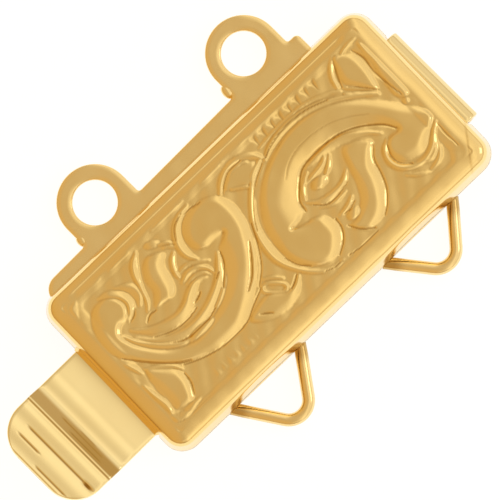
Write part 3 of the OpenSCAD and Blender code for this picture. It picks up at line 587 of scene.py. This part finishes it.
def ornament(x, y):
    """Height of the ornament's forms over its ground, the blended highest of them all, and the depth of the
    grooves chased into them. Two crossing waves make the ground between the forms a little uneven."""
    v = y + tables_shift
    height = np.zeros_like(x)
    for row in PLATEAUS:
        height = blend_up(height, form_share * plateau(x, v, *row))
    for row in RIDGES:
        height = blend_up(height, form_share * ridge(x, v, *row))
    for row in BOSSES:
        height = blend_up(height, boss_share * boss(x, v, row))
    ground = smooth(1 - height / ground_edge)
    height = height + uneven_h * ground * np.sin(5.3 * x + 1.7 * v) * np.sin(6.1 * v - 1.1 * x)
    chased = np.zeros_like(x)
    for row in TEETH:
        cut = teeth(x, v, row) * ground
        height = height - np.minimum(cut, 0)
        chased = np.maximum(chased, cut)
    for depth, points in GROOVES:
        chased = np.maximum(chased, form_share * ridge(x, v, depth, 0.5, 0.5, points))
    return height, chased


# ---- the cover
cover_step = 0.05          # spacing of the cover's grid lines
panel_r = 0.1              # corner radius of the panel's grid
reach_x, reach_y = half_l - plan_r, half_w - plan_r       # middle of the plan's corner arcs
square_on = 0.9            # a station whose direction reaches this share along an axis is on that wall


def crown(inset):
    """How far the rim falls outward from crown_from, and its slope: it bends into an even slope over the
    crown's ease, and grows steeper with the square of the distance."""
    t = np.maximum(crown_from - inset, 0)
    fall = crown_slope * t ** 2 / (t + crown_ease) + crown_bend * t ** 2
    return fall, crown_slope * (t ** 2 + 2 * crown_ease * t) / (t + crown_ease) ** 2 + 2 * crown_bend * t


def rim_height(inset, run, ring_side):
    """Height of the rim over the inset from the outline: it is crowned toward the shoulder, and a step falls
    to the ornament's ground over a run that changes along the border. The rim on the rings' side has
    a shallow channel."""
    outer, inner = (smooth((inset - at) / over) for at, over in (channel_outer, channel_inner))
    step = (box_h - ground_z) * smooth((inset - rim_w) / run)
    return box_h - crown(inset)[0] - channel_h * (outer - inner) * ring_side - step


def end_share(x):
    """1 at the box's ends and 0 between them, with a smooth change."""
    end_w, end_run = 1.9, 0.5
    return smooth((np.abs(x) - half_l + end_w) / end_run)


def even_lines(reach, step, corner, corner_lines):
    """Grid lines from -reach to reach in even steps, with finer ones over the last stretch at both ends."""
    core = np.linspace(-reach, reach, max(2, round(2 * reach / step)) + 1)
    end = reach + corner * np.arange(1, corner_lines + 1) / corner_lines
    return np.concatenate([-end[::-1], core, end])


def rounded_grid(lines_x, lines_y):
    """A grid of points over a rounded rectangle: a corner's square block becomes a quarter disc, where a
    point's larger coordinate is its radius and the ratio of the two gives its angle."""
    x, y = np.meshgrid(lines_x, lines_y, indexing="ij")
    a, b = np.maximum(np.abs(x) - reach_x, 0), np.maximum(np.abs(y) - reach_y, 0)
    m = np.maximum(a, b)
    with np.errstate(divide="ignore", invalid="ignore"):
        angle = np.where(a >= b, math.pi / 4 * b / a, math.pi / 2 - math.pi / 4 * a / b)
    corner = (a > 0) & (b > 0)
    x = np.where(corner, np.sign(x) * (reach_x + m * np.cos(angle)), x)
    y = np.where(corner, np.sign(y) * (reach_y + m * np.sin(angle)), y)
    return x, y


def border(rows, columns):
    """Indices of a grid's border points, anticlockwise from the lowest corner."""
    south = [(i, 0) for i in range(rows - 1)]
    east = [(rows - 1, j) for j in range(columns - 1)]
    north = [(i, columns - 1) for i in range(rows - 1, 0, -1)]
    west = [(0, j) for j in range(columns - 1, 0, -1)]
    return np.array([i * columns + j for i, j in south + east + north + west])


def ring_stations(lines_x, lines_y):
    """Border points of the rounded grid, and their outward directions."""
    x, y = rounded_grid(lines_x, lines_y)
    edge = border(*x.shape)
    px, py = x.ravel()[edge], y.ravel()[edge]
    ox = np.sign(px) * np.maximum(np.abs(px) - reach_x, 0)
    oy = np.sign(py) * np.maximum(np.abs(py) - reach_y, 0)
    size = np.hypot(ox, oy)
    return px, py, ox / size, oy / size


def ring_at(stations, inner_r, inset, height):
    """A ring of points at an inset from the plan's outline, over stations whose corners have a radius."""
    px, py, nx, ny = stations
    reach = plan_r - inset - inner_r
    return np.stack([px + reach * nx, py + reach * ny, height + 0 * px], axis=1)


def lower_edge(px, py, nx, ny):
    """Height of the cover's lower edge at each station: arches on the long walls, the tongue's notch at -X
    and the fold's opening at +X. The second result is the share of the notch's flared lip."""
    lip_past, lip_run = 0.02, 0.12
    z = np.full(px.shape, float(skirt_z))
    rise_r = (arch_w ** 2 / 4 + arch_h ** 2) / (2 * arch_h)
    for middle in strand_x:
        off = np.abs(px - middle)
        arch = skirt_z + arch_h - rise_r + np.sqrt(np.maximum(rise_r ** 2 - off ** 2, 0))
        z = np.where((np.abs(ny) > square_on) & (off < arch_w / 2), arch, z)
    side = np.abs(across_tongue(px, py))
    z = np.where((nx < -square_on) & (side < slot_half), notch_z, z)
    z = np.where((nx > square_on) & (side < slot_half), opening_z, z)
    lip = smooth((slot_half + lip_past - side) / lip_run) * (nx < -square_on)
    return z, lip


def worn_corner(points):
    """The corner between the fold and the loops is worn: past a straight crease across it, points sink in
    proportion to their distance from the crease, and less the lower they are. The second result is 1 on the
    crease and falls away beside it."""
    fixed_h, crease_w = 0.3, 0.05
    a, b = np.array(crease_ends)
    outward = np.array([a[1] - b[1], b[0] - a[0]]) / math.dist(a, b)
    past = (points[:, :2] - a) @ outward
    fixed_z = skirt_z + fixed_h
    share = np.clip((points[:, 2] - fixed_z) / (box_h - fixed_z), 0, 1)
    points[:, 2] -= worn_slope * share * np.maximum(past, 0)
    return points, np.exp(-(past / crease_w) ** 2) * share ** 4


def panel_surface(lines_x, lines_y):
    """The panel's points: the inner part of the rim, the step to the ground, and the ornament. The second
    result is painted shade, which darkens the colour where the surface is hollow or chased."""
    field_corner_r, field_from, field_run = 1.4, 1.02, 0.16
    side_w, side_run = 1.6, 0.3
    hollow_full, chased_full, shade_share = 0.04, 0.05, 0.4
    x, y = rounded_grid(lines_x, lines_y)
    in_x, in_y = half_l - np.abs(x), half_w - np.abs(y)
    rounded = field_corner_r - np.hypot(field_corner_r - in_x, field_corner_r - in_y)
    in_corner = (in_x < field_corner_r) & (in_y < field_corner_r)
    inset = np.where(in_corner, rounded, np.minimum(in_x, in_y))
    ends = end_share(x)
    ring_side = smooth((y - half_w + side_w) / side_run) * (1 - ends)
    run = step_run + (ring_step_run - step_run) * ring_side
    run = run + (end_step_run - run) * ends
    forms, chased = ornament(x, y)
    field = smooth((inset - field_from) / field_run)
    z = rim_height(inset, run, ring_side) + (soften(forms) - chased) * field
    # painted shade: the colour darkens where the surface is hollow or chased
    hollow = sum(np.roll(z, step, axis) for axis in (0, 1) for step in (-1, 1)) - 4 * z
    painted_shade = np.clip(hollow / hollow_full, 0, 1) + np.clip(chased / chased_full, 0, 1)
    return np.stack([x, y, z], axis=-1).reshape(-1, 3), shade_share * painted_shade * field


def shoulder():
    """Where the rim's crown ends, how it leans there, and the middle of the shoulder's arc as inset and
    height. They depend on each other, and settle within a few rounds."""
    crown_end = 0.55
    for _ in range(4):
        fall, slope = crown(crown_end)
        crown_lean = math.atan(slope)
        middle_z = box_h - fall - shoulder_r * math.cos(crown_lean)
        wall_top = middle_z + shoulder_r * math.sin(wall_lean)
        middle_in = shoulder_r * math.cos(wall_lean) + (wall_top - skirt_z) * draft
        crown_end = middle_in - shoulder_r * math.sin(crown_lean)
    return crown_end, crown_lean, middle_in, middle_z


def build_cover():
    """The cover: a fine grid over the panel, then rings over the rim and round the shoulder, down the wall,
    under the lower edge and up the inside."""
    edge_r, under_roof, roof_in, step_end_run = 0.04, 0.22, 0.2, 0.1
    side_from, side_run, arch_shade, crease_shade = 0.3, 0.5, 3, 0.5
    lines_x, lines_y = (even_lines(reach, cover_step, panel_r, 4) for reach in (reach_x, reach_y))
    panel, shade = panel_surface(lines_x, lines_y)
    stations = px, py, nx, ny = ring_stations(lines_x, lines_y)
    low, lip = lower_edge(px, py, nx, ny)
    crown_end, crown_lean, middle_in, middle_z = shoulder()
    wall_top = middle_z + shoulder_r * math.sin(wall_lean)
    wall_t = sheet / math.cos(wall_lean)

    def ring(inset, height):
        """A ring of points at an inset and a height."""
        return ring_at(stations, panel_r, inset, height)

    def wall(height, extra=0.0):
        """A ring on the leaning wall, or inside it by an extra inset, with the lip's flare."""
        flare = lip * lip_out * smooth((notch_z + lip_h - height) / lip_h)
        return ring((height - skirt_z) * draft - flare + extra, height)

    ring_side = smooth((ny - side_from) / side_run) * (1 - end_share(px))
    insets = (0.85, 0.79, 0.755, 0.72, 0.69, crown_end + 0.05)
    rows = [ring(inset, rim_height(inset, step_end_run, ring_side)) for inset in insets]
    for a in np.linspace(math.pi / 2 + crown_lean, math.pi - wall_lean, 9):
        rows.append(ring(middle_in + shoulder_r * math.cos(a), middle_z + shoulder_r * math.sin(a)))
    rows += [wall(wall_top + (low + edge_r - wall_top) * t) for t in np.linspace(0, 1, 5)[1:]]
    foot = len(rows) - 1
    turn = np.radians([45, 90])
    rows += [wall(low + edge_r * (1 - math.sin(a)), edge_r * (1 - math.cos(a))) for a in turn]
    turn = np.radians([90, 45, 0])
    rows += [wall(low + edge_r * (1 - math.sin(a)), wall_t - edge_r * (1 - math.cos(a))) for a in turn]
    under = len(rows)
    inner_low = low + edge_r
    inner_top = np.maximum(ground_z - sheet - under_roof, inner_low)
    rows += [wall(inner_low + (inner_top - inner_low) * t, wall_t) for t in (0.5, 1.0)]
    rows.append(ring(wall_t + (ground_z - skirt_z) * draft + roof_in, ground_z - sheet))

    edge = border(len(lines_x), len(lines_y))
    n, k = len(edge), len(panel)
    faces = grid_faces(len(lines_x), len(lines_y))
    faces += [[edge[s], k + s, k + (s + 1) % n, edge[(s + 1) % n]] for s in range(n)]
    faces += grid_faces(len(rows), n, k, closed=True)
    faces += fan_faces(k + (len(rows) - 1) * n, n, k + len(rows) * n, turned=True)
    points, crease = worn_corner(np.concatenate([panel, *rows, [[0, 0, ground_z - sheet]]]))
    piece = make_piece("cover_relief", points, faces, "box", relief_gold, ("cover",))
    # painted shadow: the wall's lowest row and its rounded lower edge are darkened inside the arches on the
    # loops' side
    painted_shade = np.zeros((len(rows), n))
    painted_shade[foot:under] = np.clip(arch_shade * (low - skirt_z) / arch_h, 0, 1) * (ny < -square_on)
    # painted shade along the crease of the worn corner
    store_shade_and_patina(piece, np.maximum(np.concatenate([shade.ravel(), painted_shade.ravel()]), crease_shade * crease[:-1]))


# ---- the tray and its loops
def build_tray():
    """The tray: rings up its outer wall to the sill, whose height drops to the base where the tongue and
    the ring plate pass, then down the sill's inner wall."""
    inner_r, step, jump, e = 0.3, 0.25, 0.01, 0.06
    jumps_x = [plate_far + play + d for d in (-jump, jump)]
    jumps_y = [place + d for place in sill_ends for d in (-jump, jump)]
    lines_x = np.sort(np.concatenate([even_lines(reach_x, step, inner_r, 6), jumps_x]))
    lines_y = np.sort(np.concatenate([even_lines(reach_y, step, inner_r, 6), jumps_y]))
    stations = ring_stations(lines_x, lines_y)
    px, py, nx = stations[:3]
    open_side = (py > 0) & (px < plate_far + play)
    open_end = (np.abs(nx) > square_on) & (np.abs(across_tongue(px, py)) < slot_half)
    top = np.where(open_side | open_end, tray_t, sill_z)
    section = [
        (sill_t + e, tray_t), (sill_t, np.maximum(top - e / 3, tray_t)), (sill_t - e / 3, top),
        (e / 2, top), (0, np.maximum(top - e / 2, e)), (0, e), (0.3 * e, 0.3 * e), (e, 0),
    ]
    rows = [ring_at(stations, inner_r, ledge + inset, height) for inset, height in section]
    n = len(px)
    points = np.concatenate(rows + [[[0, 0, 0]], [[0, 0, tray_t]]])
    faces = grid_faces(len(rows), n, 0, closed=True)
    under = len(rows) * n
    faces += fan_faces(under - n, n, under, turned=True) + fan_faces(0, n, under + 1)
    make_piece("tray", points, faces, "box", wire_gold, ("loop_tray",))


def sweep(path, radius, sides):
    """A round wire along a flat path: at each point a circle stands across the path's direction."""
    step = np.gradient(path, axis=0)
    step /= np.linalg.norm(step, axis=1)[:, None]
    side = np.stack([step[:, 1], -step[:, 0], 0 * step[:, 0]], axis=1)
    up = np.array([0, 0, 1.0])
    a = np.linspace(0, 2 * math.pi, sides, endpoint=False)
    ring = np.cos(a)[None, :, None] * side[:, None, :] + np.sin(a)[None, :, None] * up
    points = path[:, None, :] + radius[:, None, None] * ring
    ends = [list(range(sides)), [(len(path) - 1) * sides + s for s in range(sides)][::-1]]
    return points.reshape(-1, 3), grid_faces(len(path), sides, 0, closed=True) + ends


def arc(cx, cy, r, a0, a1, count):
    """Points along an arc, angles in degrees."""
    a = np.radians(np.linspace(a0, a1, count))
    return np.stack([cx + r * np.cos(a), cy + r * np.sin(a)], axis=1)


def build_loop(name, middle, reach):
    """A soldered wire loop: two straight legs that are tangent to a rounded tip. Its feet are seated in the
    tray's wall, a little thinner and browned there."""
    sides, seat, leg_points = 20, 0.12, 14
    thinned, thin_run, brown, brown_from, brown_run = 0.04, 0.35, 0.6, 0.75, 0.5
    y0 = -(half_w - ledge)
    tip_y = loop_tip_r - reach
    to_foot = math.acos(loop_tip_r / math.hypot(loop_foot, tip_y))
    tangent = math.degrees(math.atan2(-tip_y, loop_foot) - to_foot)
    tip = arc(0, tip_y, loop_tip_r, 180 - tangent, 360 + tangent, 24)
    foot_x = loop_foot - seat * math.tan(math.radians(tangent))
    first = np.linspace([-foot_x, seat], tip[0], leg_points)[:-1]
    second = np.linspace(tip[-1], [foot_x, seat], leg_points)[1:]
    flat = np.concatenate([first, tip, second]) + [middle, y0]
    path = np.column_stack([flat, np.full(len(flat), wire_z)])
    inward = flat[:, 1] - y0
    points, faces = sweep(path, wire_r * (1 - thinned * smooth((inward + thin_run) / thin_run)), sides)
    piece = make_piece(name, points, faces, "box", wire_gold)
    store_shade_and_patina(piece, brown * np.repeat(smooth((inward + brown_from) / brown_run), sides))


# ---- the ring plate
def offset_loop(loop, distance):
    """A closed outline moved outward by a distance, along the bisector at each point."""
    before, after = np.roll(loop, 1, axis=0), np.roll(loop, -1, axis=0)
    d0, d1 = loop - before, after - loop
    n0 = np.stack([d0[:, 1], -d0[:, 0]], axis=1) / np.linalg.norm(d0, axis=1)[:, None]
    n1 = np.stack([d1[:, 1], -d1[:, 0]], axis=1) / np.linalg.norm(d1, axis=1)[:, None]
    n = n0 + n1
    n /= np.maximum((n * n0).sum(axis=1), 0.5)[:, None]
    return loop + distance * n


def plate_solid(loops, low, high, edge_r):
    """A flat plate with rounded edges: each outline (the holes run clockwise) is swept through a shallow
    bevel and a rounded edge section, and the two faces are filled between the outlines."""
    bevel_in, bevel_up, flat_in = 0.12, 0.014, 0.02
    section = [(-edge_r - bevel_in - flat_in, high + bevel_up), (-edge_r - bevel_in, high + bevel_up)]
    section += [(-edge_r + edge_r * math.sin(a), high - edge_r + edge_r * math.cos(a)) for a in QUARTER]
    section += [(-edge_r + edge_r * math.cos(a), low + edge_r - edge_r * math.sin(a)) for a in QUARTER]
    section += [(-edge_r - flat_in, low)]
    points, faces, start = [], [], 0
    tops, bottoms = [], []
    for loop in loops:
        n = len(loop)
        points += [np.column_stack([offset_loop(loop, out), np.full(n, z)]) for out, z in section]
        faces += grid_faces(len(section), n, start, closed=True)
        last = start + (len(section) - 1) * n
        tops.append(list(range(start, start + n)))
        bottoms.append(list(range(last, last + n)))
        start = last + n
    points = np.concatenate(points)
    for rows, upward in ((tops, True), (bottoms, False)):
        index = [i for row in rows for i in row]
        for triangle in tessellate_polygon([[Vector((*points[i, :2], 0)) for i in row] for row in rows]):
            a, b, c = (index[k] for k in triangle)
            area = np.cross(points[b, :2] - points[a, :2], points[c, :2] - points[a, :2])
            faces.append([a, b, c] if (area > 0) == upward else [a, c, b])
    return points, faces


def ring_outline(x):
    """Outline of one ring on the plate's edge, from its right foot over the top to its left foot."""
    foot_r = 0.14
    return np.concatenate([
        arc(x + ring_r + foot_r, plate_reach + foot_r, foot_r, 270, 180, 5),
        arc(x, ring_y, ring_r, 0, 180, 40),
        arc(x - ring_r - foot_r, plate_reach + foot_r, foot_r, 0, -90, 5),
    ])


def build_ring_plate():
    """The ring plate: the lower leaf, which runs to just before the fold, and the plate with its two rings,
    as one outline with two holes."""
    half = tongue_w / 2
    near_r, far_r, end = 0.75, 0.25, fold_x - 0.05
    outline = np.concatenate([
        [[end, -half], [end, half], [plate_far, half]],
        arc(plate_far - far_r, plate_reach - far_r, far_r, 0, 90, 6),
        ring_outline(strand_x[1]),
        ring_outline(strand_x[0]),
        arc(-plate_near + near_r, plate_reach - near_r, near_r, 90, 180, 12),
        [[-plate_near, half], [plate_start, half], [plate_start, -half]],
    ])
    holes = [arc(x, ring_y, hole_r, 360, 0, 49)[:-1] for x in strand_x]
    points, faces = plate_solid([outline] + holes, plate_z, plate_z + leaf_t, 0.10)
    points = in_tongue(points)
    make_piece("ring_plate_skin", points, faces, "tongue", plate_gold, ("ring_plate",))


def build_bead(name, middle, reach):
    """A small bead of solder, an ellipsoid drawn as rings between its two poles."""
    n = 20
    a = np.linspace(0, 2 * math.pi, n, endpoint=False)
    b = np.linspace(0, math.pi, 13)[1:-1, None]
    shell = np.stack([np.sin(b) * np.cos(a), np.sin(b) * np.sin(a), np.cos(b) + 0 * a], axis=-1)
    shell = shell.reshape(-1, 3)
    unit = np.concatenate([shell, [[0, 0, 1], [0, 0, -1]]])
    faces = grid_faces(len(b), n, 0, closed=True)
    faces += fan_faces(0, n, len(shell)) + fan_faces(len(shell) - n, n, len(shell) + 1, turned=True)
    make_piece(name, np.array(middle) + unit * np.array(reach), faces, "tongue", plate_gold)


# ---- the spring leaf
grip_soft, dark_soft = 0.25, 0.5       # length over which the lines' ends fade

# Lines pressed into the pad: place along X, from y, to y, width, depth.
GRIP_LINES = [
    (-13.88, -2.20, 1.60, 0.035, 0.05),
    (-13.90, -2.40, -1.90, 0.075, 0.08),
    (-14.40, 0.50, 1.70, 0.03, 0.04),
    (-14.92, -1.70, 0.10, 0.03, 0.04),
]

# Brown lines without depth on the leaf: place along X, from y, to y, width.
DARK_LINES = [
    (-12.80, -1.90, 0.30, 0.05),
    (-12.60, -1.80, 1.00, 0.05),
    (-12.45, -1.20, 0.00, 0.03),
    (-13.01, -2.70, 2.70, 0.035),
]


def leaf_path():
    """The leaf's middle line in the tongue's frame: round the fold, along the upper leaf and the tab, up the
    riser and along the pad. The corners at the riser are rounded with short parabolas, the tab bends up
    over a short stretch, and slight waves run across tab and pad."""
    corner, blunt, bend_run = 0.16, 0.1, 0.3
    wave_h, tab_crest, tab_wave, pad_crest, pad_wave = 0.008, -11.6, 1.1, -13.35, 1.06
    tab_waves, pad_waves, tab_ease, pad_ease = (-11.1, -12.35), -13.1, 0.4, 0.3
    middle = fold_z + fold_r - leaf_t / 2
    fold = arc(fold_x, fold_z, fold_r - leaf_t / 2, -90, 90, 25)
    a, b = np.array([tab_x, middle]), np.array([riser_x, middle + pad_rise])
    end = np.array([pad_x, middle + pad_rise])
    rise = (b - a) / np.linalg.norm(b - a)
    pad = (end - b) / np.linalg.norm(end - b)
    t = np.linspace(0, 1, 14)[:, None]
    bend_low = (1 - t) ** 2 * (a + [corner, 0]) + 2 * t * (1 - t) * a + t ** 2 * (a + corner * rise)
    bend_high = (1 - t) ** 2 * (b - corner * rise) + 2 * t * (1 - t) * b + t ** 2 * (b + corner * pad)
    leaf = np.linspace([fold_x, middle], [-half_l, middle], 40)[1:-1]
    tab = np.linspace([-half_l, middle], a + [corner, 0], 24)[:-1]
    riser = np.linspace(a + corner * rise, b - corner * rise, 20)[1:-1]
    far = np.linspace(b + corner * pad, end - blunt * pad, 66)[1:]
    last = end - blunt * pad + blunt * np.sin(np.linspace(0, math.pi / 2, 8))[1:, None] * pad
    path = np.concatenate([fold, leaf, tab, bend_low, riser, bend_high, far, last])
    x = path[:, 0]
    beyond = np.maximum(tab_from - x, 0)
    path[:, 1] += math.tan(tab_lift) * beyond ** 2 / (beyond + bend_run)
    on_tab = smooth((tab_waves[0] - x) / tab_ease) * smooth((x - tab_waves[1]) / tab_ease)
    path[:, 1] += wave_h * on_tab * np.cos(2 * math.pi * (x - tab_crest) / tab_wave)
    on_pad = smooth((pad_waves - x) / pad_ease)
    path[:, 1] += wave_h * on_pad * np.cos(2 * math.pi * (x - pad_crest) / pad_wave)
    return path


def leaf_section():
    """The leaf's section as columns: the share of the half width, the share of the edge's radius outward,
    the face (1 above, -1 below) and the share of the edge's radius by which it falls short of the face."""
    section = [(v, 0, 1, 0) for v in np.linspace(-1, 1, 50)]
    section += [(1, math.sin(a), 1, math.cos(a) - 1) for a in QUARTER[1:]]
    section += [(1, math.cos(a), -1, 1 - math.sin(a)) for a in QUARTER]
    section += [(v, 0, -1, 0) for v in np.linspace(1, -1, 8)[1:-1]]
    section += [(-1, -math.sin(a), -1, 1 - math.cos(a)) for a in QUARTER]
    section += [(-1, -math.cos(a), 1, math.sin(a) - 1) for a in QUARTER[:-1]]
    return np.array(section).T


def mark(x, y, place, low, high, width, soft):
    """A mark across the leaf: a bell over x, and over y between low and high with soft ends."""
    span = smooth((y - low) / soft + 0.5) * smooth((high - y) / soft + 0.5)
    return np.exp(-((x - place) / width) ** 2) * span


def build_leaf():
    """The leaf: a rounded flat section carried along the middle line. Its half width follows the pad's
    rounded corners and its thickness the blunt end, the grip lines are pressed into its top, and the lines
    are browned. The riser gets painted shade, darker toward -Y, and so does the fold."""
    edge_r, blunt, thinnest = 0.09, 0.1, 0.05
    riser_shade, riser_shade_more, fold_shade = 0.70, 0.12, 0.18
    path = leaf_path()
    step = np.gradient(path, axis=0)
    step /= np.linalg.norm(step, axis=1)[:, None]
    along, height = path[:, :1], path[:, 1:]
    to_end = along - pad_x
    half = tongue_w / 2 - pad_r + np.sqrt(np.maximum(pad_r ** 2 - np.maximum(pad_r - to_end, 0) ** 2, 0))
    half = np.where(to_end < pad_r, half, tongue_w / 2)
    thick = leaf_t / 2 * np.sqrt(np.maximum(1 - (np.maximum(blunt - to_end, 0) / blunt) ** 2, thinnest))
    share, out, face, drop = leaf_section()
    y = share * (half - edge_r) + out * edge_r
    n = face * thick + drop * edge_r * thick / (leaf_t / 2)
    on_top = (face > 0) * (height > fold_z)

    # painted shade on the riser, darker toward -Y
    riser = smooth((along - riser_x) / 0.05) * smooth((tab_x + 0.02 - along) / 0.25) * on_top
    shade = riser * (riser_shade + riser_shade_more * smooth((1.2 - y) / 2.5))
    # painted shade over the fold
    shade = np.maximum(shade, fold_shade * smooth((along - fold_x) / 0.1))
    for place, low, high, width, depth in GRIP_LINES:
        pressed = mark(along, y, place, low, high, width, grip_soft) * on_top
        shade = np.maximum(shade, pressed)
        n = n - depth * pressed
    for row in DARK_LINES:
        shade = np.maximum(shade, mark(along, y, *row, dark_soft) * on_top)

    x = along + step[:, 1:] * n
    z = height - step[:, :1] * n
    c, s = math.cos(leaf_lift), math.sin(leaf_lift)
    dx, dz = x - fold_x, z - fold_z
    rings = np.stack([fold_x + dx * c + dz * s, y, fold_z - dx * s + dz * c], axis=-1)
    points = in_tongue(np.concatenate([rings.reshape(-1, 3), rings[[0, -1]].mean(axis=1)]))
    m, hub = len(share), len(path) * len(share)
    faces = [quad[::-1] for quad in grid_faces(len(path), m, 0, closed=True)]
    faces += fan_faces(0, m, hub, turned=True) + fan_faces(hub - m, m, hub + 1)
    piece = make_piece("leaf_skin", points, faces, "leaf", leaf_gold, ("spring_leaf",))
    store_shade_and_patina(piece, shade)


build_cover()
build_tray()
for number, (x, reach) in enumerate(zip(strand_x, loop_reach), 1):
    build_loop(f"strand_loop_{number}", x, reach)
build_ring_plate()
build_bead("foot_bead_1", (-6.36, 5.62, 0.58), (0.26, 0.34, 0.19))
build_bead("foot_bead_2", (3.06, 5.92, 0.58), (0.25, 0.38, 0.20))
build_leaf()


# ---- floor, light and camera
def build_floor():
    """A plain white floor under the clasp."""
    size = 0.6
    mesh = bpy.data.meshes.new("floor")
    square = [(-size, -size, 0), (size, -size, 0), (size, size, 0), (-size, size, 0)]
    mesh.from_pydata(square, [], [(0, 1, 2, 3)])
    floor = bpy.data.objects.new("floor", mesh)
    white = bpy.data.materials.new("floor_white")
    white.use_nodes = True
    shader = white.node_tree.nodes["Principled BSDF"]
    shader.inputs["Base Color"].default_value = (0.25, 0.25, 0.25, 1)
    shader.inputs["Roughness"].default_value = 0.9
    shader.inputs["Emission Color"].default_value = (1, 1, 1, 1)
    shader.inputs["Emission Strength"].default_value = 0.88
    mesh.materials.append(white)
    bpy.context.scene.collection.objects.link(floor)


# Stops of the light's slope across the sky, and of its shading from straight down to straight up.
SKY = [
    (0.0, (0.54, 0.36, 0.15)), (0.18, (0.57, 0.40, 0.19)), (0.36, (0.56, 0.405, 0.225)),
    (0.43, (0.525, 0.40, 0.25)), (0.48, (0.495, 0.40, 0.275)), (0.50, (0.51, 0.415, 0.29)),
    (0.56, (0.60, 0.505, 0.375)), (0.64, (0.86, 0.765, 0.61)), (0.72, (0.72, 0.63, 0.50)),
    (1.0, (0.74, 0.68, 0.60)),
]
HORIZON = [
    (0.50, (0.92, 0.88, 0.82)), (0.545, (0.80, 0.74, 0.65)), (0.60, (0.88, 0.84, 0.78)), (0.68, (1, 1, 1)),
]
bright_side = (0.906, -0.423, 0)
sky_strength = 1.25


def build_world():
    """Soft studio surroundings as a slope of light across the sky: warm brown toward the thumb tab and the
    rings, tan overhead, white toward the fold and the loops, with a darker band along the horizon."""
    world = bpy.data.worlds.new("studio")
    bpy.context.scene.world = world
    world.use_nodes = True
    nodes, links = world.node_tree.nodes, world.node_tree.links
    place = nodes.new("ShaderNodeTexCoord").outputs["Generated"]
    toward = nodes.new("ShaderNodeVectorMath")
    toward.operation = "DOT_PRODUCT"
    toward.inputs[1].default_value = bright_side
    apart = nodes.new("ShaderNodeSeparateXYZ")
    links.new(place, toward.inputs[0])
    links.new(place, apart.inputs[0])
    both = nodes.new("ShaderNodeMix")
    both.data_type = "RGBA"
    both.blend_type = "MULTIPLY"
    both.inputs["Factor"].default_value = 1.0
    for value, stops, side in ((toward.outputs["Value"], SKY, "A"), (apart.outputs["Z"], HORIZON, "B")):
        ramp = ramp_node(nodes, stops)
        span = nodes.new("ShaderNodeMapRange")
        span.inputs["From Min"].default_value = -1
        links.new(value, span.inputs["Value"])
        links.new(span.outputs["Result"], ramp.inputs["Fac"])
        links.new(ramp.outputs["Color"], both.inputs[side])
    background = nodes["Background"]
    background.inputs["Strength"].default_value = sky_strength
    links.new(both.outputs["Result"], background.inputs["Color"])


def area_light(name, place, size, power):
    """A soft rectangular light that faces the clasp."""
    light = bpy.data.lights.new(name, "AREA")
    light.shape = "RECTANGLE"
    light.size, light.size_y = size
    light.energy = power
    lamp = bpy.data.objects.new(name, light)
    bpy.context.scene.collection.objects.link(lamp)
    lamp.location = Vector(place)
    lamp.rotation_euler = (-Vector(place)).to_track_quat("-Z", "Y").to_euler()


def build_camera():
    """The camera stands far above the clasp, leaned a little toward the loops, with the box's length
    turned on the picture as the photograph shows it."""
    lean, turn = math.radians(4.5), math.radians(43.8)
    across, distance = 22.52, 300.0
    target = Vector((-1.171, -0.111, 2.3))
    view = Vector((0, math.sin(lean), -math.cos(lean)))
    along, up = Vector((1, 0, 0)), Vector((0, math.cos(lean), math.sin(lean)))
    right = math.cos(turn) * along - math.sin(turn) * up
    top = math.sin(turn) * along + math.cos(turn) * up
    camera = bpy.data.cameras.new("camera")
    camera.sensor_width = 36
    camera.lens = camera.sensor_width * distance / across
    camera.clip_start = 0.01
    eye = bpy.data.objects.new("camera", camera)
    bpy.context.scene.collection.objects.link(eye)
    turned = Matrix((right, top, -view)).transposed().to_4x4()
    eye.matrix_world = Matrix.Translation((target - distance * view) * MM) @ turned
    bpy.context.scene.camera = eye


build_floor()
build_world()
area_light("key", (0.20, -0.14, 0.18), (0.10, 0.10), 0.035)
area_light("fill", (-0.06, -0.24, 0.14), (0.20, 0.10), 0.010)
build_camera()
bpy.context.scene.view_settings.view_transform = "Standard"


def corners(bounds):
    """A box as plain lists of numbers."""
    return [[float(value) for value in corner] for corner in bounds]
